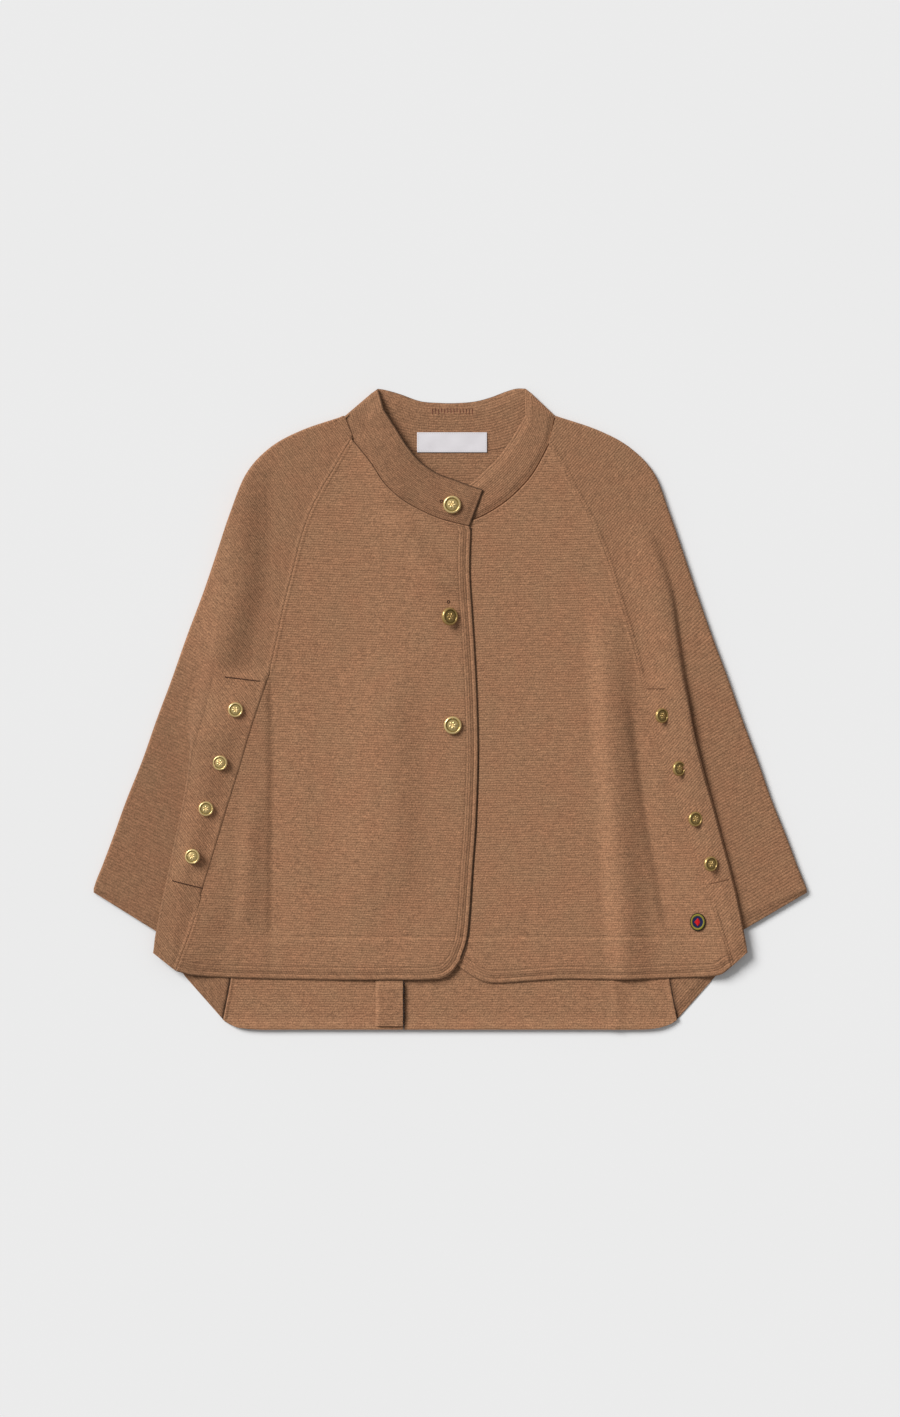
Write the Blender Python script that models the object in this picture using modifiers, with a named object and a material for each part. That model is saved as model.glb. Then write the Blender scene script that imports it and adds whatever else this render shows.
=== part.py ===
"""A knitted cape laid flat, seen from straight above. Metres, +Z up.

The garment is cut as a back, two side pieces that run from the back seam round the
outer fold to the front seam, two fronts, a stand collar and the trims. Each cloth
piece is one wall. Tables are in millimetres from the middle of the cape, +Y to the neck.
"""

import math

import bmesh
import bpy
import numpy as np

MM = 0.001
CLOTH = 2.4
GAP = 0.4
LAYER = CLOTH + GAP
FLOOR_LAYER = CLOTH / 2
TOP_LAYER = FLOOR_LAYER + LAYER
FOLD_RADIUS = LAYER / 2
FOLD_REACH = FOLD_RADIUS + CLOTH / 2
SEAM = 0.5
BEND_LENGTH = math.pi * FOLD_RADIUS

SECTIONS = 15
ROWS_PER_SECTION = 2
SECTION_ROWS = np.linspace(0, SECTIONS, SECTIONS * ROWS_PER_SECTION + 1)
TOP_COLUMNS = 6
FRONT_COLUMNS = 16
FRONT_SHARES = np.concatenate([[0.0, 0.03], np.linspace(0.09, 1.0, FRONT_COLUMNS - 1)])
NECK_END_COLUMNS = 3
BACK_COLUMNS = 12
COLLAR_ROWS = 4
FOLD_COLUMNS = 4

SLIT_TOP = {-1: 28.0, 1: 19.5}
SLIT_BOTTOM = {-1: -176.0, 1: -173.5}
UNDERLAP_TOP = 25.0
UNDERLAP_BOTTOM = 10.0
SEAM_LIFT = 4.4
SEAM_LIFT_WIDTH = 45.0
CUFF_RISE = 25.0
OVERLAP_START = -45.0
OVERLAP_END = -17.0

BUTTON_SIZES = {"front": 18.0, "side": 15.0}
BUTTON_RISE = 0.3
LABEL_SIZE = (70.0, 20.0, 0.7)
LABEL_CENTRE = (2.0, 266.5)
BADGE_SIZE = (15.5, 18.0, 0.9)
BADGE_CENTRE = (247.6, -213.4)
VENT_LEFT = -74.5
VENT_RIGHT = -46.5
VENT_TOP = -160.0
VENT_BAND = 1.3
VENT_SLIT = 1.2


def table(columns, *rows):
    """The rows as one array for each named column."""
    names = columns.split()
    return {name: np.array([row[k] for row in rows], float) for k, name in enumerate(names)}


LEFT_SIDE = table(
    "outer_x outer_y seam_x seam_y back_x back_y fold_x fold_y turn lap",
    (-107.7, 292.6, -98.7, 269.6, -98.0, 282.8, -103.0, 281.3, 0, 2),
    (-149.0, 278.5, -115.0, 241.5, -107.0, 253.5, -132.0, 260.5, 0, 2),
    (-180.0, 261.5, -128.0, 219.5, -116.0, 219.5, -154.0, 240.5, 0, 2),
    (-204.0, 235.5, -140.0, 195.5, -124.0, 184.5, -174.0, 215.5, 0, 2),
    (-220.5, 195.5, -149.5, 167.5, -133.0, 148.5, -192.0, 178.5, 0, 2),
    (-233.5, 156.5, -157.5, 135.5, -142.0, 111.5, -206.0, 142.5, 0, 2),
    (-247.0, 116.5, -166.0, 102.5, -151.0, 74.5, -220.0, 106.5, 0, 2),
    (-263.5, 72.5, -175.0, 60.5, -161.0, 32.5, -236.0, 66.5, 10, 2),
    (-279.0, 28.5, -184.0, 23.5, -171.0, -9.5, -249.0, 26.5, 35, 2),
    (-294.0, -11.5, -197.5, -17.5, -181.0, -51.5, -257.5, -13.5, 80, 2),
    (-308.0, -51.5, -210.0, -59.5, -191.0, -94.5, -261.5, -53.5, 135, 3),
    (-324.0, -91.5, -223.0, -101.5, -200.0, -137.5, -267.5, -94.5, 180, 6),
    (-337.0, -127.5, -235.0, -141.5, -208.0, -181.5, -275.5, -132.5, 180, 10),
    (-347.5, -155.5, -246.5, -179.5, -213.0, -221.5, -281.5, -162.5, 180, 13),
    (-354.0, -171.5, -257.5, -218.5, -219.0, -266.5, -288.5, -194.5, 180, 16),
    (-358.0, -184.0, -274.0, -262.5, -227.5, -311.5, -297.5, -243.5, 180, 19),
)

RIGHT_SIDE = table(
    "outer_x outer_y seam_x seam_y back_x back_y fold_x fold_y turn lap",
    (107.7, 292.6, 99.8, 264.6, 98.0, 282.8, 104.0, 279.9, 0, 2),
    (149.0, 278.5, 111.0, 245.5, 107.0, 253.5, 131.0, 262.5, 0, 2),
    (180.0, 261.5, 124.0, 221.5, 116.0, 219.5, 153.0, 241.5, 0, 2),
    (204.5, 235.5, 137.0, 197.5, 124.0, 184.5, 172.0, 216.5, 0, 2),
    (220.0, 195.5, 149.0, 173.0, 133.0, 148.5, 193.0, 185.5, 5, 2),
    (233.5, 156.5, 159.5, 144.5, 142.0, 111.5, 210.0, 151.5, 20, 2),
    (247.0, 116.5, 169.5, 111.5, 151.0, 74.5, 221.5, 114.0, 40, 2),
    (262.5, 72.5, 182.0, 70.5, 161.0, 32.5, 227.5, 70.5, 60, 2),
    (279.0, 28.5, 192.5, 26.5, 171.0, -9.5, 233.5, 27.5, 85, 2),
    (293.0, -11.5, 200.5, -15.5, 181.0, -51.5, 242.0, -13.5, 120, 2),
    (308.0, -51.5, 214.0, -57.5, 191.0, -94.5, 252.5, -54.5, 155, 3),
    (322.0, -91.5, 229.0, -101.5, 200.0, -137.5, 264.0, -97.5, 180, 5),
    (336.5, -127.5, 243.0, -142.5, 208.0, -181.5, 274.5, -136.5, 180, 7),
    (347.0, -155.5, 256.0, -177.5, 213.0, -221.5, 282.0, -164.5, 180, 8),
    (353.5, -171.5, 269.0, -217.5, 219.0, -266.5, 288.5, -192.5, 180, 9),
    (358.5, -184.0, 281.5, -258.0, 227.5, -311.5, 298.0, -243.0, 180, 10),
)
SIDES = {-1: LEFT_SIDE, 1: RIGHT_SIDE}

BACK_HEM_BOW = table(
    "across inward",
    (0.0, 0.0),
    (0.19, 11.0),
    (0.385, 21.5),
    (0.47, 12.0),
    (0.68, 3.9),
    (1.0, 0.0),
)

LEFT_COLLAR = table(
    "neck_x neck_y top_x top_y",
    (-98.5, 270.0, -66.0, 299.0),
    (-79.5, 246.5, -54.0, 280.0),
    (-66.0, 226.0, -42.0, 261.5),
    (-49.0, 210.0, -29.0, 246.5),
    (-30.5, 199.0, -13.0, 235.5),
    (-12.0, 190.7, 3.0, 229.5),
    (6.0, 185.5, 19.0, 223.5),
    (20.0, 182.5, 33.5, 218.5),
)
RIGHT_COLLAR = table(
    "neck_x neck_y top_x top_y",
    (99.5, 265.0, 75.5, 294.0),
    (84.5, 237.5, 63.0, 272.5),
    (70.5, 220.5, 49.0, 252.5),
    (55.5, 207.0, 34.0, 237.5),
    (40.0, 196.8, 21.5, 226.0),
    (28.0, 190.7, 11.0, 220.0),
    (12.0, 185.5, 0.0, 216.5),
    (-5.0, 181.5, -10.0, 215.0),
)
COLLARS = {-1: LEFT_COLLAR, 1: RIGHT_COLLAR}

BACK_COLLAR = table(
    "neck_x neck_y top_x top_y",
    (-106.5, 292.0, -73.0, 320.5),
    (-97.0, 284.0, -64.0, 319.0),
    (-82.0, 272.5, -50.0, 315.0),
    (-55.0, 261.5, -30.0, 308.0),
    (-28.0, 257.0, -12.0, 306.3),
    (0.0, 256.0, 5.0, 306.0),
    (28.0, 257.0, 24.0, 307.5),
    (55.0, 261.5, 40.0, 311.5),
    (82.0, 272.5, 56.0, 317.5),
    (97.5, 284.0, 66.5, 320.5),
    (106.5, 292.0, 76.5, 320.5),
)

LEFT_CENTRE = table(
    "x y",
    (21.5, 181.5),
    (21.0, 140.0),
    (24.5, 90.0),
    (28.0, 30.0),
    (30.0, -40.0),
    (28.0, -110.0),
    (24.5, -160.0),
    (21.5, -205.0),
    (18.5, -232.0),
    (12.5, -250.0),
)
LEFT_HEM = table(
    "x y",
    (-274.0, -262.5),
    (-250.0, -267.5),
    (-200.0, -270.0),
    (-130.0, -271.5),
    (-60.0, -271.5),
    (-20.0, -271.0),
    (-2.0, -267.0),
    (12.5, -250.0),
)
RIGHT_CENTRE = table(
    "x y",
    (-5.0, 180.5),
    (-8.0, 140.0),
    (-11.0, 80.0),
    (-13.0, 0.0),
    (-13.0, -100.0),
    (-13.0, -180.0),
    (-12.0, -225.0),
    (-3.0, -247.0),
    (12.0, -261.0),
)
RIGHT_HEM = table(
    "x y",
    (281.5, -258.0),
    (267.0, -267.0),
    (230.0, -269.5),
    (165.0, -271.5),
    (110.0, -271.0),
    (50.0, -275.0),
    (28.0, -269.0),
    (12.0, -261.0),
)
CENTRES = {-1: LEFT_CENTRE, 1: RIGHT_CENTRE}
HEMS = {-1: LEFT_HEM, 1: RIGHT_HEM}

BACK_HEM = table(
    "x y",
    (-227.5, -311.5),
    (-221.0, -316.0),
    (-210.0, -320.0),
    (-190.0, -321.5),
    (0.0, -321.5),
    (190.0, -321.5),
    (208.0, -320.0),
    (221.0, -316.0),
    (227.5, -311.5),
)

SOFT_FOLDS = table(
    "x0 y0 x1 y1 x2 y2 left_width right_width height",
    (-205.0, 215.0, -214.0, 120.0, -238.0, 25.0, 26.0, 30.0, 4.5),
    (-50.0, 186.0, -30.0, 156.0, -14.0, 132.0, 20.0, 20.0, 2.0),
    (-60.0, 60.0, -58.0, -70.0, -62.0, -215.0, 75.0, 24.0, 4.0),
    (-199.0, -85.0, -202.0, -150.0, -207.0, -225.0, 14.0, 18.0, 2.2),
    (150.0, 110.0, 165.0, -60.0, 190.0, -270.0, 30.0, 34.0, 5.0),
    (196.0, 190.0, 208.0, 110.0, 219.0, 50.0, 30.0, 10.0, 3.0),
)


FRONT_BUTTONS = table(
    "x y tilt",
    (2.1, 203.7, 0.0),
    (-1.0, 91.8, 30.0),
    (2.6, -16.8, 5.0),
)
SIDE_BUTTONS = table(
    "side x y tilt",
    (-1, -214.4, -1.3, 4.0),
    (-1, -229.6, -54.4, -4.0),
    (-1, -243.9, -100.2, 6.0),
    (-1, -257.0, -147.7, -6.0),
    (1, 210.8, -7.1, 32.0),
    (1, 227.8, -60.0, 34.0),
    (1, 244.5, -110.4, 22.0),
    (1, 259.6, -155.0, 26.0),
)


def smooth(value):
    """A ramp from 0 to 1 with level ends."""
    ramp = np.clip(value, 0.0, 1.0)
    return ramp * ramp * (3.0 - 2.0 * ramp)


def spline(values, at):
    """A smooth curve through values at 0, 1, 2 and so on, read at the places in at."""
    ends = np.concatenate([[2 * values[0] - values[1]], values, [2 * values[-1] - values[-2]]])
    k = np.clip(np.floor(at).astype(int), 0, len(values) - 2)
    f = at - k
    before, start, end, after = ends[k], ends[k + 1], ends[k + 2], ends[k + 3]
    pull_in, pull_out = (end - before) / 2, (after - start) / 2
    return (
        (2 * f**3 - 3 * f**2 + 1) * start
        + (f**3 - 2 * f**2 + f) * pull_in
        + (3 * f**2 - 2 * f**3) * end
        + (f**3 - f**2) * pull_out
    )


def curve(points, x, y, at):
    """The named x and y columns as a smooth line, read at the places in at."""
    return np.stack([spline(points[x], at), spline(points[y], at)], axis=-1)


def along_line(points, shares):
    """Points at the given shares of the length of a table's line."""
    last = len(points["x"]) - 1
    fine = curve(points, "x", "y", np.linspace(0, last, 40 * (last + 1)))
    run = np.concatenate([[0], np.cumsum(np.linalg.norm(np.diff(fine, axis=0), axis=1))])
    at = run[-1] * np.asarray(shares)
    return np.stack([np.interp(at, run, fine[:, k]) for k in range(2)], axis=-1)


def unit(vectors):
    return vectors / np.linalg.norm(vectors, axis=-1, keepdims=True)


def between(start, end, shares):
    """Points at the given shares of the way, as rows by shares by xy."""
    return start[:, None, :] + (end - start)[:, None, :] * np.asarray(shares)[None, :, None]


def layer(plan, height):
    """Plan points given a height each."""
    return np.concatenate([plan, np.broadcast_to(height, plan.shape[:-1])[..., None]], axis=-1)


def soft_folds(x, y):
    """How far the loose folds lift the cloth off its layer."""
    height = np.zeros_like(x)
    f = SOFT_FOLDS
    for k in range(len(f["x0"])):
        ys = [f["y2"][k], f["y1"][k], f["y0"][k]]
        crest = np.interp(y, ys, [f["x2"][k], f["x1"][k], f["x0"][k]])
        off = x - crest
        width = np.where(off < 0, f["left_width"][k], f["right_width"][k])
        across = 0.5 + 0.5 * np.cos(np.pi * np.clip(off / width, -1, 1))
        length = f["y0"][k] - f["y2"][k]
        fade = 0.3 * length
        along = smooth((f["y0"][k] + 10 - y) / fade) * smooth((y - f["y2"][k] + 10) / fade)
        height = np.maximum(height, f["height"][k] * across * along)
    return height


def seam_x(side, y):
    """The front seam's x at each y."""
    points = SIDES[side]
    fine = curve(points, "seam_x", "seam_y", np.linspace(0, SECTIONS, 10 * SECTIONS))[::-1]
    return np.interp(y, fine[:, 1], fine[:, 0])


def seam_lift(side, x, y):
    """Near the hem the front climbs to the folded side piece that it is sewn to."""
    inward = side * (seam_x(side, y) - x)
    rise = smooth((-126.0 - y) / 115.0)
    return SEAM_LIFT * rise * (1 - smooth(inward / SEAM_LIFT_WIDTH))


def lapped(side, y):
    """1 where the side piece lies on the front's underlap, 0 where they are seamed."""
    top, bottom = SLIT_TOP[side], SLIT_BOTTOM[side]
    return smooth((top + 30 - y) / 24) * smooth((y - bottom + 60) / 30)


def underlap(side, y):
    """How far the front runs on under the side piece, along the slit."""
    top, bottom = SLIT_TOP[side], SLIT_BOTTOM[side]
    share = np.clip((y - bottom) / (top - bottom), 0, 1)
    width = UNDERLAP_BOTTOM + (UNDERLAP_TOP - UNDERLAP_BOTTOM) * share
    return width * smooth((top - 6 - y) / 14) * smooth((y - bottom + 8) / 12)


def front_height(side, x, y):
    """The middle of a front's wall: its layer, its folds and its overlaps."""
    folds = soft_folds(x, y) * (1 if side < 0 else smooth((x - 10) / 20))
    over_vent = smooth((x - VENT_LEFT + 22) / 18) * smooth((VENT_RIGHT + 22 - x) / 18)
    over_vent = over_vent * smooth((VENT_TOP + 24 - y) / 20)
    lifted = (VENT_BAND + GAP) * over_vent
    if side < 0:
        over_front = smooth((x - OVERLAP_START) / (OVERLAP_END - OVERLAP_START))
        lifted = np.maximum(lifted, LAYER * over_front)
    return TOP_LAYER + folds + seam_lift(side, x, y) + lifted


def side_rows(side, at):
    """The side piece's wall middle: under layer, outer fold, top layer, pleat, edge."""
    points = SIDES[side]
    outer = curve(points, "outer_x", "outer_y", at)
    nearby = [curve(points, "outer_x", "outer_y", at + step) for step in (-0.02, 0.02)]
    along = unit(nearby[1] - nearby[0])
    outward = np.stack([along[:, 1], -along[:, 0]], axis=-1) * -side
    fold = outer - outward * FOLD_REACH
    seam = curve(points, "seam_x", "seam_y", at)
    back = curve(points, "back_x", "back_y", at)
    inward = unit(seam - outer)
    seam = seam - inward * (SEAM / 2)
    back = back - unit(back - outer) * (SEAM / 2)
    turn = np.radians(np.clip(spline(points["turn"], at), 1.0, 180.0))
    lap = np.clip(spline(points["lap"], at), 2.0, None)
    radius = BEND_LENGTH / turn
    reach = 2 * radius * np.sin(turn) + lap * np.cos(turn)
    folded = smooth((np.degrees(turn) - 90) / 90)
    start = folded * (lap + radius + CLOTH / 2) - (1 - folded) * reach / 2
    pleat = curve(points, "fold_x", "fold_y", at) + inward * start[:, None]
    nearby = [curve(points, "fold_x", "fold_y", at + step) for step in (-0.02, 0.02)]
    to_hem = smooth((at - SECTIONS + 2) / 2)[:, None]
    cuff = unit(nearby[0] - nearby[1]) * CUFF_RISE * to_hem

    shares = BACK_HEM_BOW["across"][::-1]
    under = between(fold, back, shares)
    run = unit(back - fold)
    bow = np.stack([-run[:, 1], run[:, 0]], axis=-1)
    bow = bow * np.sign((bow * inward).sum(axis=-1, keepdims=True))
    drawn_in = to_hem[..., None] * BACK_HEM_BOW["inward"][::-1][None, :, None]
    columns = [layer(under + bow[:, None, :] * drawn_in, FLOOR_LAYER)]

    angles = np.linspace(-90, 90, FOLD_COLUMNS + 1)[1:-1]
    for angle in np.radians(angles):
        plan = fold + outward * FOLD_RADIUS * math.cos(angle)
        columns.append(layer(plan, FLOOR_LAYER + FOLD_RADIUS * (1 + math.sin(angle)))[:, None, :])

    shares = np.array([0, 0.35, 0.7, 1])
    lower = between(fold, pleat, shares) + cuff[:, None, :] * shares[None, :, None]
    columns.append(layer(lower, TOP_LAYER + soft_folds(lower[..., 0], lower[..., 1])))

    for share in np.linspace(0, 1, FOLD_COLUMNS + 1)[1:]:
        angle = turn * share
        plan = pleat + cuff + inward * (radius * np.sin(angle))[:, None]
        lift = TOP_LAYER + soft_folds(plan[:, 0], plan[:, 1])
        columns.append(layer(plan, lift + radius * (1 - np.cos(angle)))[:, None, :])
    for share in np.linspace(1, 0, FOLD_COLUMNS + 1):
        angle = turn * share
        step = 2 * radius * np.sin(turn) - radius * np.sin(angle) + lap * np.cos(turn)
        rise = 2 * radius * (1 - np.cos(turn)) - radius * (1 - np.cos(angle)) + lap * np.sin(turn)
        plan = pleat + inward * step[:, None]
        lift = TOP_LAYER + soft_folds(plan[:, 0], plan[:, 1])
        columns.append(layer(plan, lift + rise)[:, None, :])
    top_start = pleat + inward * reach[:, None]
    crest = 2 * radius * (1 - np.cos(turn)) + lap * np.sin(turn)

    shares = np.array([0.2, 0.4, 0.6, 0.8, 1.0])
    top = between(top_start, seam, shares)
    x, y = top[..., 0], top[..., 1]
    across = np.linalg.norm(seam - top_start, axis=-1)[:, None]
    to_seam = across * (1 - shares[None, :])
    flat = underlap(side, y) + 4 * lapped(side, y)
    clear = (lap + 4)[:, None] * folded[:, None]
    edge = smooth((across - clear - to_seam) / np.maximum(across - clear - flat, 4.0))
    seam_height = seam_lift(side, x, y) + LAYER * lapped(side, y)
    height = TOP_LAYER + soft_folds(x, y) + crest[:, None] * (1 - edge) + seam_height * edge
    columns.append(layer(top, height))
    rows = np.concatenate(columns, axis=1)
    return rows if side < 0 else rows[:, ::-1]


def patch(left, right, top, bottom, shares):
    """Plan points of a panel between four edges (a Coons patch), rows by columns."""
    v = np.linspace(0, 1, len(left))[:, None, None]
    u = np.asarray(shares)[None, :, None]
    sides = left[:, None] * (1 - u) + right[:, None] * u
    ends = top[None] * (1 - v) + bottom[None] * v
    corner_ends = [line[0] * (1 - u) + line[-1] * u for line in (top, bottom)]
    return sides + ends - corner_ends[0] * (1 - v) - corner_ends[1] * v


def neck_line(points, shares):
    """A collar's neck edge, its top edge and the way up from one to the other."""
    at = (len(points["neck_x"]) - 1) * np.asarray(shares)
    neck = curve(points, "neck_x", "neck_y", at)
    top = curve(points, "top_x", "top_y", at)
    return neck, top, unit(top - neck)


def front_rows(side):
    """A front's wall middle, from the neck to the hem."""
    seam = curve(SIDES[side], "seam_x", "seam_y", SECTION_ROWS)
    outer = curve(SIDES[side], "outer_x", "outer_y", SECTION_ROWS)
    inward = unit(seam - outer)
    centre = along_line(CENTRES[side], SECTION_ROWS / SECTIONS)
    hem = along_line(HEMS[side], FRONT_SHARES)
    neck, _, up = neck_line(COLLARS[side], FRONT_SHARES)
    neck = neck - up * (SEAM / 2)
    centre[0] = neck[-1]
    edge = seam + inward * (SEAM / 2)
    edge[0] = neck[0] + inward[0] * (SEAM / 2)
    edge[-1] = hem[0] + inward[-1] * (SEAM / 2)
    neck[0] = edge[0]
    hem[0] = edge[-1]
    hem[-1] = centre[-1]
    plan = patch(edge, centre, neck, hem, FRONT_SHARES)
    plan[:, 0] -= inward * underlap(side, edge[:, 1])[:, None]
    height = front_height(side, plan[..., 0], plan[..., 1])
    grid = layer(plan, height)
    return grid if side < 0 else grid[:, ::-1]


def collar_rows():
    """The collar's wall middle: left front, fold, back, fold, right front."""
    shares = np.linspace(0, 1, COLLAR_ROWS + 1)
    back_neck, back_top, back_up = neck_line(BACK_COLLAR, np.linspace(0, 1, BACK_COLUMNS + 1))
    back_neck = back_neck + back_up * (SEAM / 2)
    halves = {}
    for side, points in COLLARS.items():
        end = 0 if side < 0 else -1
        rise = back_top[end] - back_neck[end]
        outward = unit(np.array([side * rise[1], -side * rise[0]]))
        fold_neck = back_neck[end] - outward * FOLD_REACH
        fold_top = back_top[end] - outward * FOLD_REACH
        half = []
        for angle in np.radians(np.linspace(-90, 90, FOLD_COLUMNS + 1)[1:-1]):
            shift = outward * FOLD_RADIUS * math.cos(angle)
            plan = between((fold_neck + shift)[None], (fold_top + shift)[None], shares)
            half.append(layer(plan, FLOOR_LAYER + FOLD_RADIUS * (1 + math.sin(angle))))
        neck, top, up = neck_line(points, FRONT_SHARES)
        neck = neck + up * (SEAM / 2)
        to_front = np.linspace(0, 1, NECK_END_COLUMNS + 1)[:-1]
        neck = np.concatenate([between(fold_neck[None], neck[:1], to_front)[0], neck])
        top = np.concatenate([between(fold_top[None], top[:1], to_front)[0], top])
        plan = between(neck, top, shares)
        half.append(layer(plan, front_height(side, plan[..., 0], plan[..., 1])))
        halves[side] = np.concatenate(half)
        back_neck[end], back_top[end] = fold_neck, fold_top
    back = layer(between(back_neck, back_top, shares), FLOOR_LAYER)
    return np.concatenate([halves[-1][::-1], back, halves[1]]).transpose(1, 0, 2)


def material(name, colour, roughness, metallic=0.0):
    found = bpy.data.materials.new(name)
    found.use_nodes = True
    shader = found.node_tree.nodes["Principled BSDF"]
    shader.inputs["Base Color"].default_value = (*colour, 1.0)
    shader.inputs["Roughness"].default_value = roughness
    shader.inputs["Metallic"].default_value = metallic
    return found


def add_object(name, data, surface):
    thing = bpy.data.objects.new(name, data)
    cape.objects.link(thing)
    data.materials.append(surface)
    return thing


def sheet(name, grid, surface, thickness=CLOTH):
    """A wall of even thickness about a grid of points, rows by columns."""
    rows, columns = grid.shape[:2]
    faces = [
        (r * columns + c, (r + 1) * columns + c, (r + 1) * columns + c + 1, r * columns + c + 1)
        for r in range(rows - 1)
        for c in range(columns - 1)
    ]
    mesh = bpy.data.meshes.new(name)
    mesh.from_pydata((grid.reshape(-1, 3) * MM).tolist(), [], faces)
    mesh.shade_smooth()
    thing = add_object(name, mesh, surface)
    wall = thing.modifiers.new("Wall", "SOLIDIFY")
    wall.thickness = thickness * MM
    wall.offset = 0.0
    wall.use_even_offset = True
    wall.use_quality_normals = True
    return thing


def flat_piece(name, outline, low, thickness, surface):
    """A flat outline filled and given its thickness."""
    data = bpy.data.curves.new(name, "CURVE")
    data.dimensions = "2D"
    data.fill_mode = "BOTH"
    data.extrude = thickness * MM / 2
    line = data.splines.new("POLY")
    line.points.add(len(outline) - 1)
    line.use_cyclic_u = True
    for point, (x, y) in zip(line.points, outline):
        point.co = (x * MM, y * MM, 0.0, 1.0)
    thing = add_object(name, data, surface)
    thing.location.z = (low + thickness / 2) * MM
    return thing


def back_outline():
    """The back's outline: neck, right seam, hem with its vent slit, left seam."""
    at = np.linspace(1, len(BACK_COLLAR["neck_x"]) - 2, BACK_COLUMNS + 1)
    neck = curve(BACK_COLLAR, "neck_x", "neck_y", at)
    top = curve(BACK_COLLAR, "top_x", "top_y", at)
    neck = neck - unit(top - neck) * (SEAM / 2)
    neck[0, 0] += SEAM
    neck[-1, 0] -= SEAM
    edges = {}
    for side in (-1, 1):
        seam = curve(SIDES[side], "back_x", "back_y", SECTION_ROWS)
        outer = curve(SIDES[side], "outer_x", "outer_y", SECTION_ROWS)
        edges[side] = (seam + unit(seam - outer) * (SEAM / 2))[1:]
    hem = np.stack([BACK_HEM["x"], BACK_HEM["y"]], axis=-1)[1:-1]
    slit_left = VENT_RIGHT
    slit_right = VENT_RIGHT + VENT_SLIT
    hem_y = BACK_HEM["y"].min()
    slit = np.array(
        [
            (slit_right, hem_y),
            (slit_right, VENT_TOP),
            (slit_left, VENT_TOP),
            (slit_left, hem_y),
        ]
    )
    return np.concatenate([neck, edges[1], hem[:2:-1], slit, hem[2::-1], edges[-1][::-1]])


def seat(top_at, x, y, reach, tilt):
    """The lowest height at which a tilted disc clears the cloth under it."""
    heights = [top_at(x, y)]
    for angle in np.radians(np.arange(0, 360, 30)):
        across = reach * math.cos(angle)
        cloth = top_at(x + across * math.cos(tilt), y + reach * math.sin(angle))
        heights.append(cloth + across * math.sin(tilt))
    return max(heights) + BUTTON_RISE


def button(name, size, x, y, top_at, tilt, surface):
    """A domed metal button with a raised rim, turned about its axis."""
    radius = size / 2
    rise = size * 0.2
    profile = (
        (0.0, 0.86 * rise),
        (0.66 * radius, 0.8 * rise),
        (0.84 * radius, rise),
        (radius, 0.62 * rise),
        (0.78 * radius, 0.0),
        (0.0, 0.0),
    )
    mesh = bpy.data.meshes.new(name)
    points = [(r * MM, 0.0, z * MM) for r, z in profile]
    mesh.from_pydata(points, [(k, k + 1) for k in range(len(points) - 1)], [])
    thing = add_object(name, mesh, surface)
    turned = thing.modifiers.new("Turned", "SCREW")
    turned.steps = 16
    turned.render_steps = 16
    turned.use_merge_vertices = True
    turned.merge_threshold = 0.00001
    thing.location = (x * MM, y * MM, seat(top_at, x, y, 0.86 * radius, tilt) * MM)
    thing.rotation_euler = (0.0, tilt, 0.0)
    return thing


def side_top(side):
    """The height of the side piece's upper face between pleat and edge, as a function of place."""
    rows = side_rows(side, np.linspace(0, SECTIONS, 20 * SECTIONS + 1))
    strips = rows[:, -TOP_COLUMNS:] if side < 0 else rows[:, :TOP_COLUMNS]

    def top_at(x, y):
        row = min(strips, key=lambda strip: abs(np.interp(x, strip[:, 0], strip[:, 1]) - y))
        return np.interp(x, row[:, 0], row[:, 2]) + CLOTH / 2

    return top_at


def front_top(x, y):
    """The height of the left front's upper face."""
    return float(front_height(-1, np.array(x), np.array(y))) + CLOTH / 2


def cloth_patch(name, centre, size, lift, surface):
    """A thin oval that lies on the right front and follows its points."""
    width, depth, thickness = size
    form = bmesh.new()
    bmesh.ops.create_circle(form, cap_ends=True, cap_tris=True, segments=24, radius=0.5)
    mesh = bpy.data.meshes.new(name)
    form.to_mesh(mesh)
    form.free()
    for point in mesh.vertices:
        x = centre[0] + point.co.x * width
        y = centre[1] + point.co.y * depth
        z = float(front_height(1, np.array(x), np.array(y))) + CLOTH / 2 + lift + thickness / 2
        point.co = (x * MM, y * MM, z * MM)
    thing = add_object(name, mesh, surface)
    wall = thing.modifiers.new("Wall", "SOLIDIFY")
    wall.thickness = thickness * MM
    wall.offset = 0.0
    return thing


for old in list(bpy.data.objects):
    bpy.data.objects.remove(old, do_unlink=True)
cape = bpy.data.collections.new("Cape")
bpy.context.scene.collection.children.link(cape)

CAMEL = material("Camel knit", (0.31, 0.16, 0.09), 0.9)
GOLD = material("Gold metal", (0.6, 0.46, 0.22), 0.3, 1.0)
WHITE = material("White satin", (0.72, 0.69, 0.7), 0.5)
OLIVE = material("Olive thread", (0.3, 0.28, 0.08), 0.7)

flat_piece("back", back_outline(), 0.0, CLOTH, CAMEL)
vent = [
    (VENT_LEFT, VENT_TOP),
    (VENT_RIGHT - 0.5, VENT_TOP),
    (VENT_RIGHT - 0.5, -318.0),
    (VENT_LEFT, -318.0),
]
flat_piece("back_vent_band", vent[::-1], CLOTH + GAP, VENT_BAND, CAMEL)
for name, side in (("left", -1), ("right", 1)):
    sheet(f"side_{name}", side_rows(side, SECTION_ROWS), CAMEL)
    sheet(f"front_{name}", front_rows(side), CAMEL)
sheet("collar", collar_rows(), CAMEL)

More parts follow.
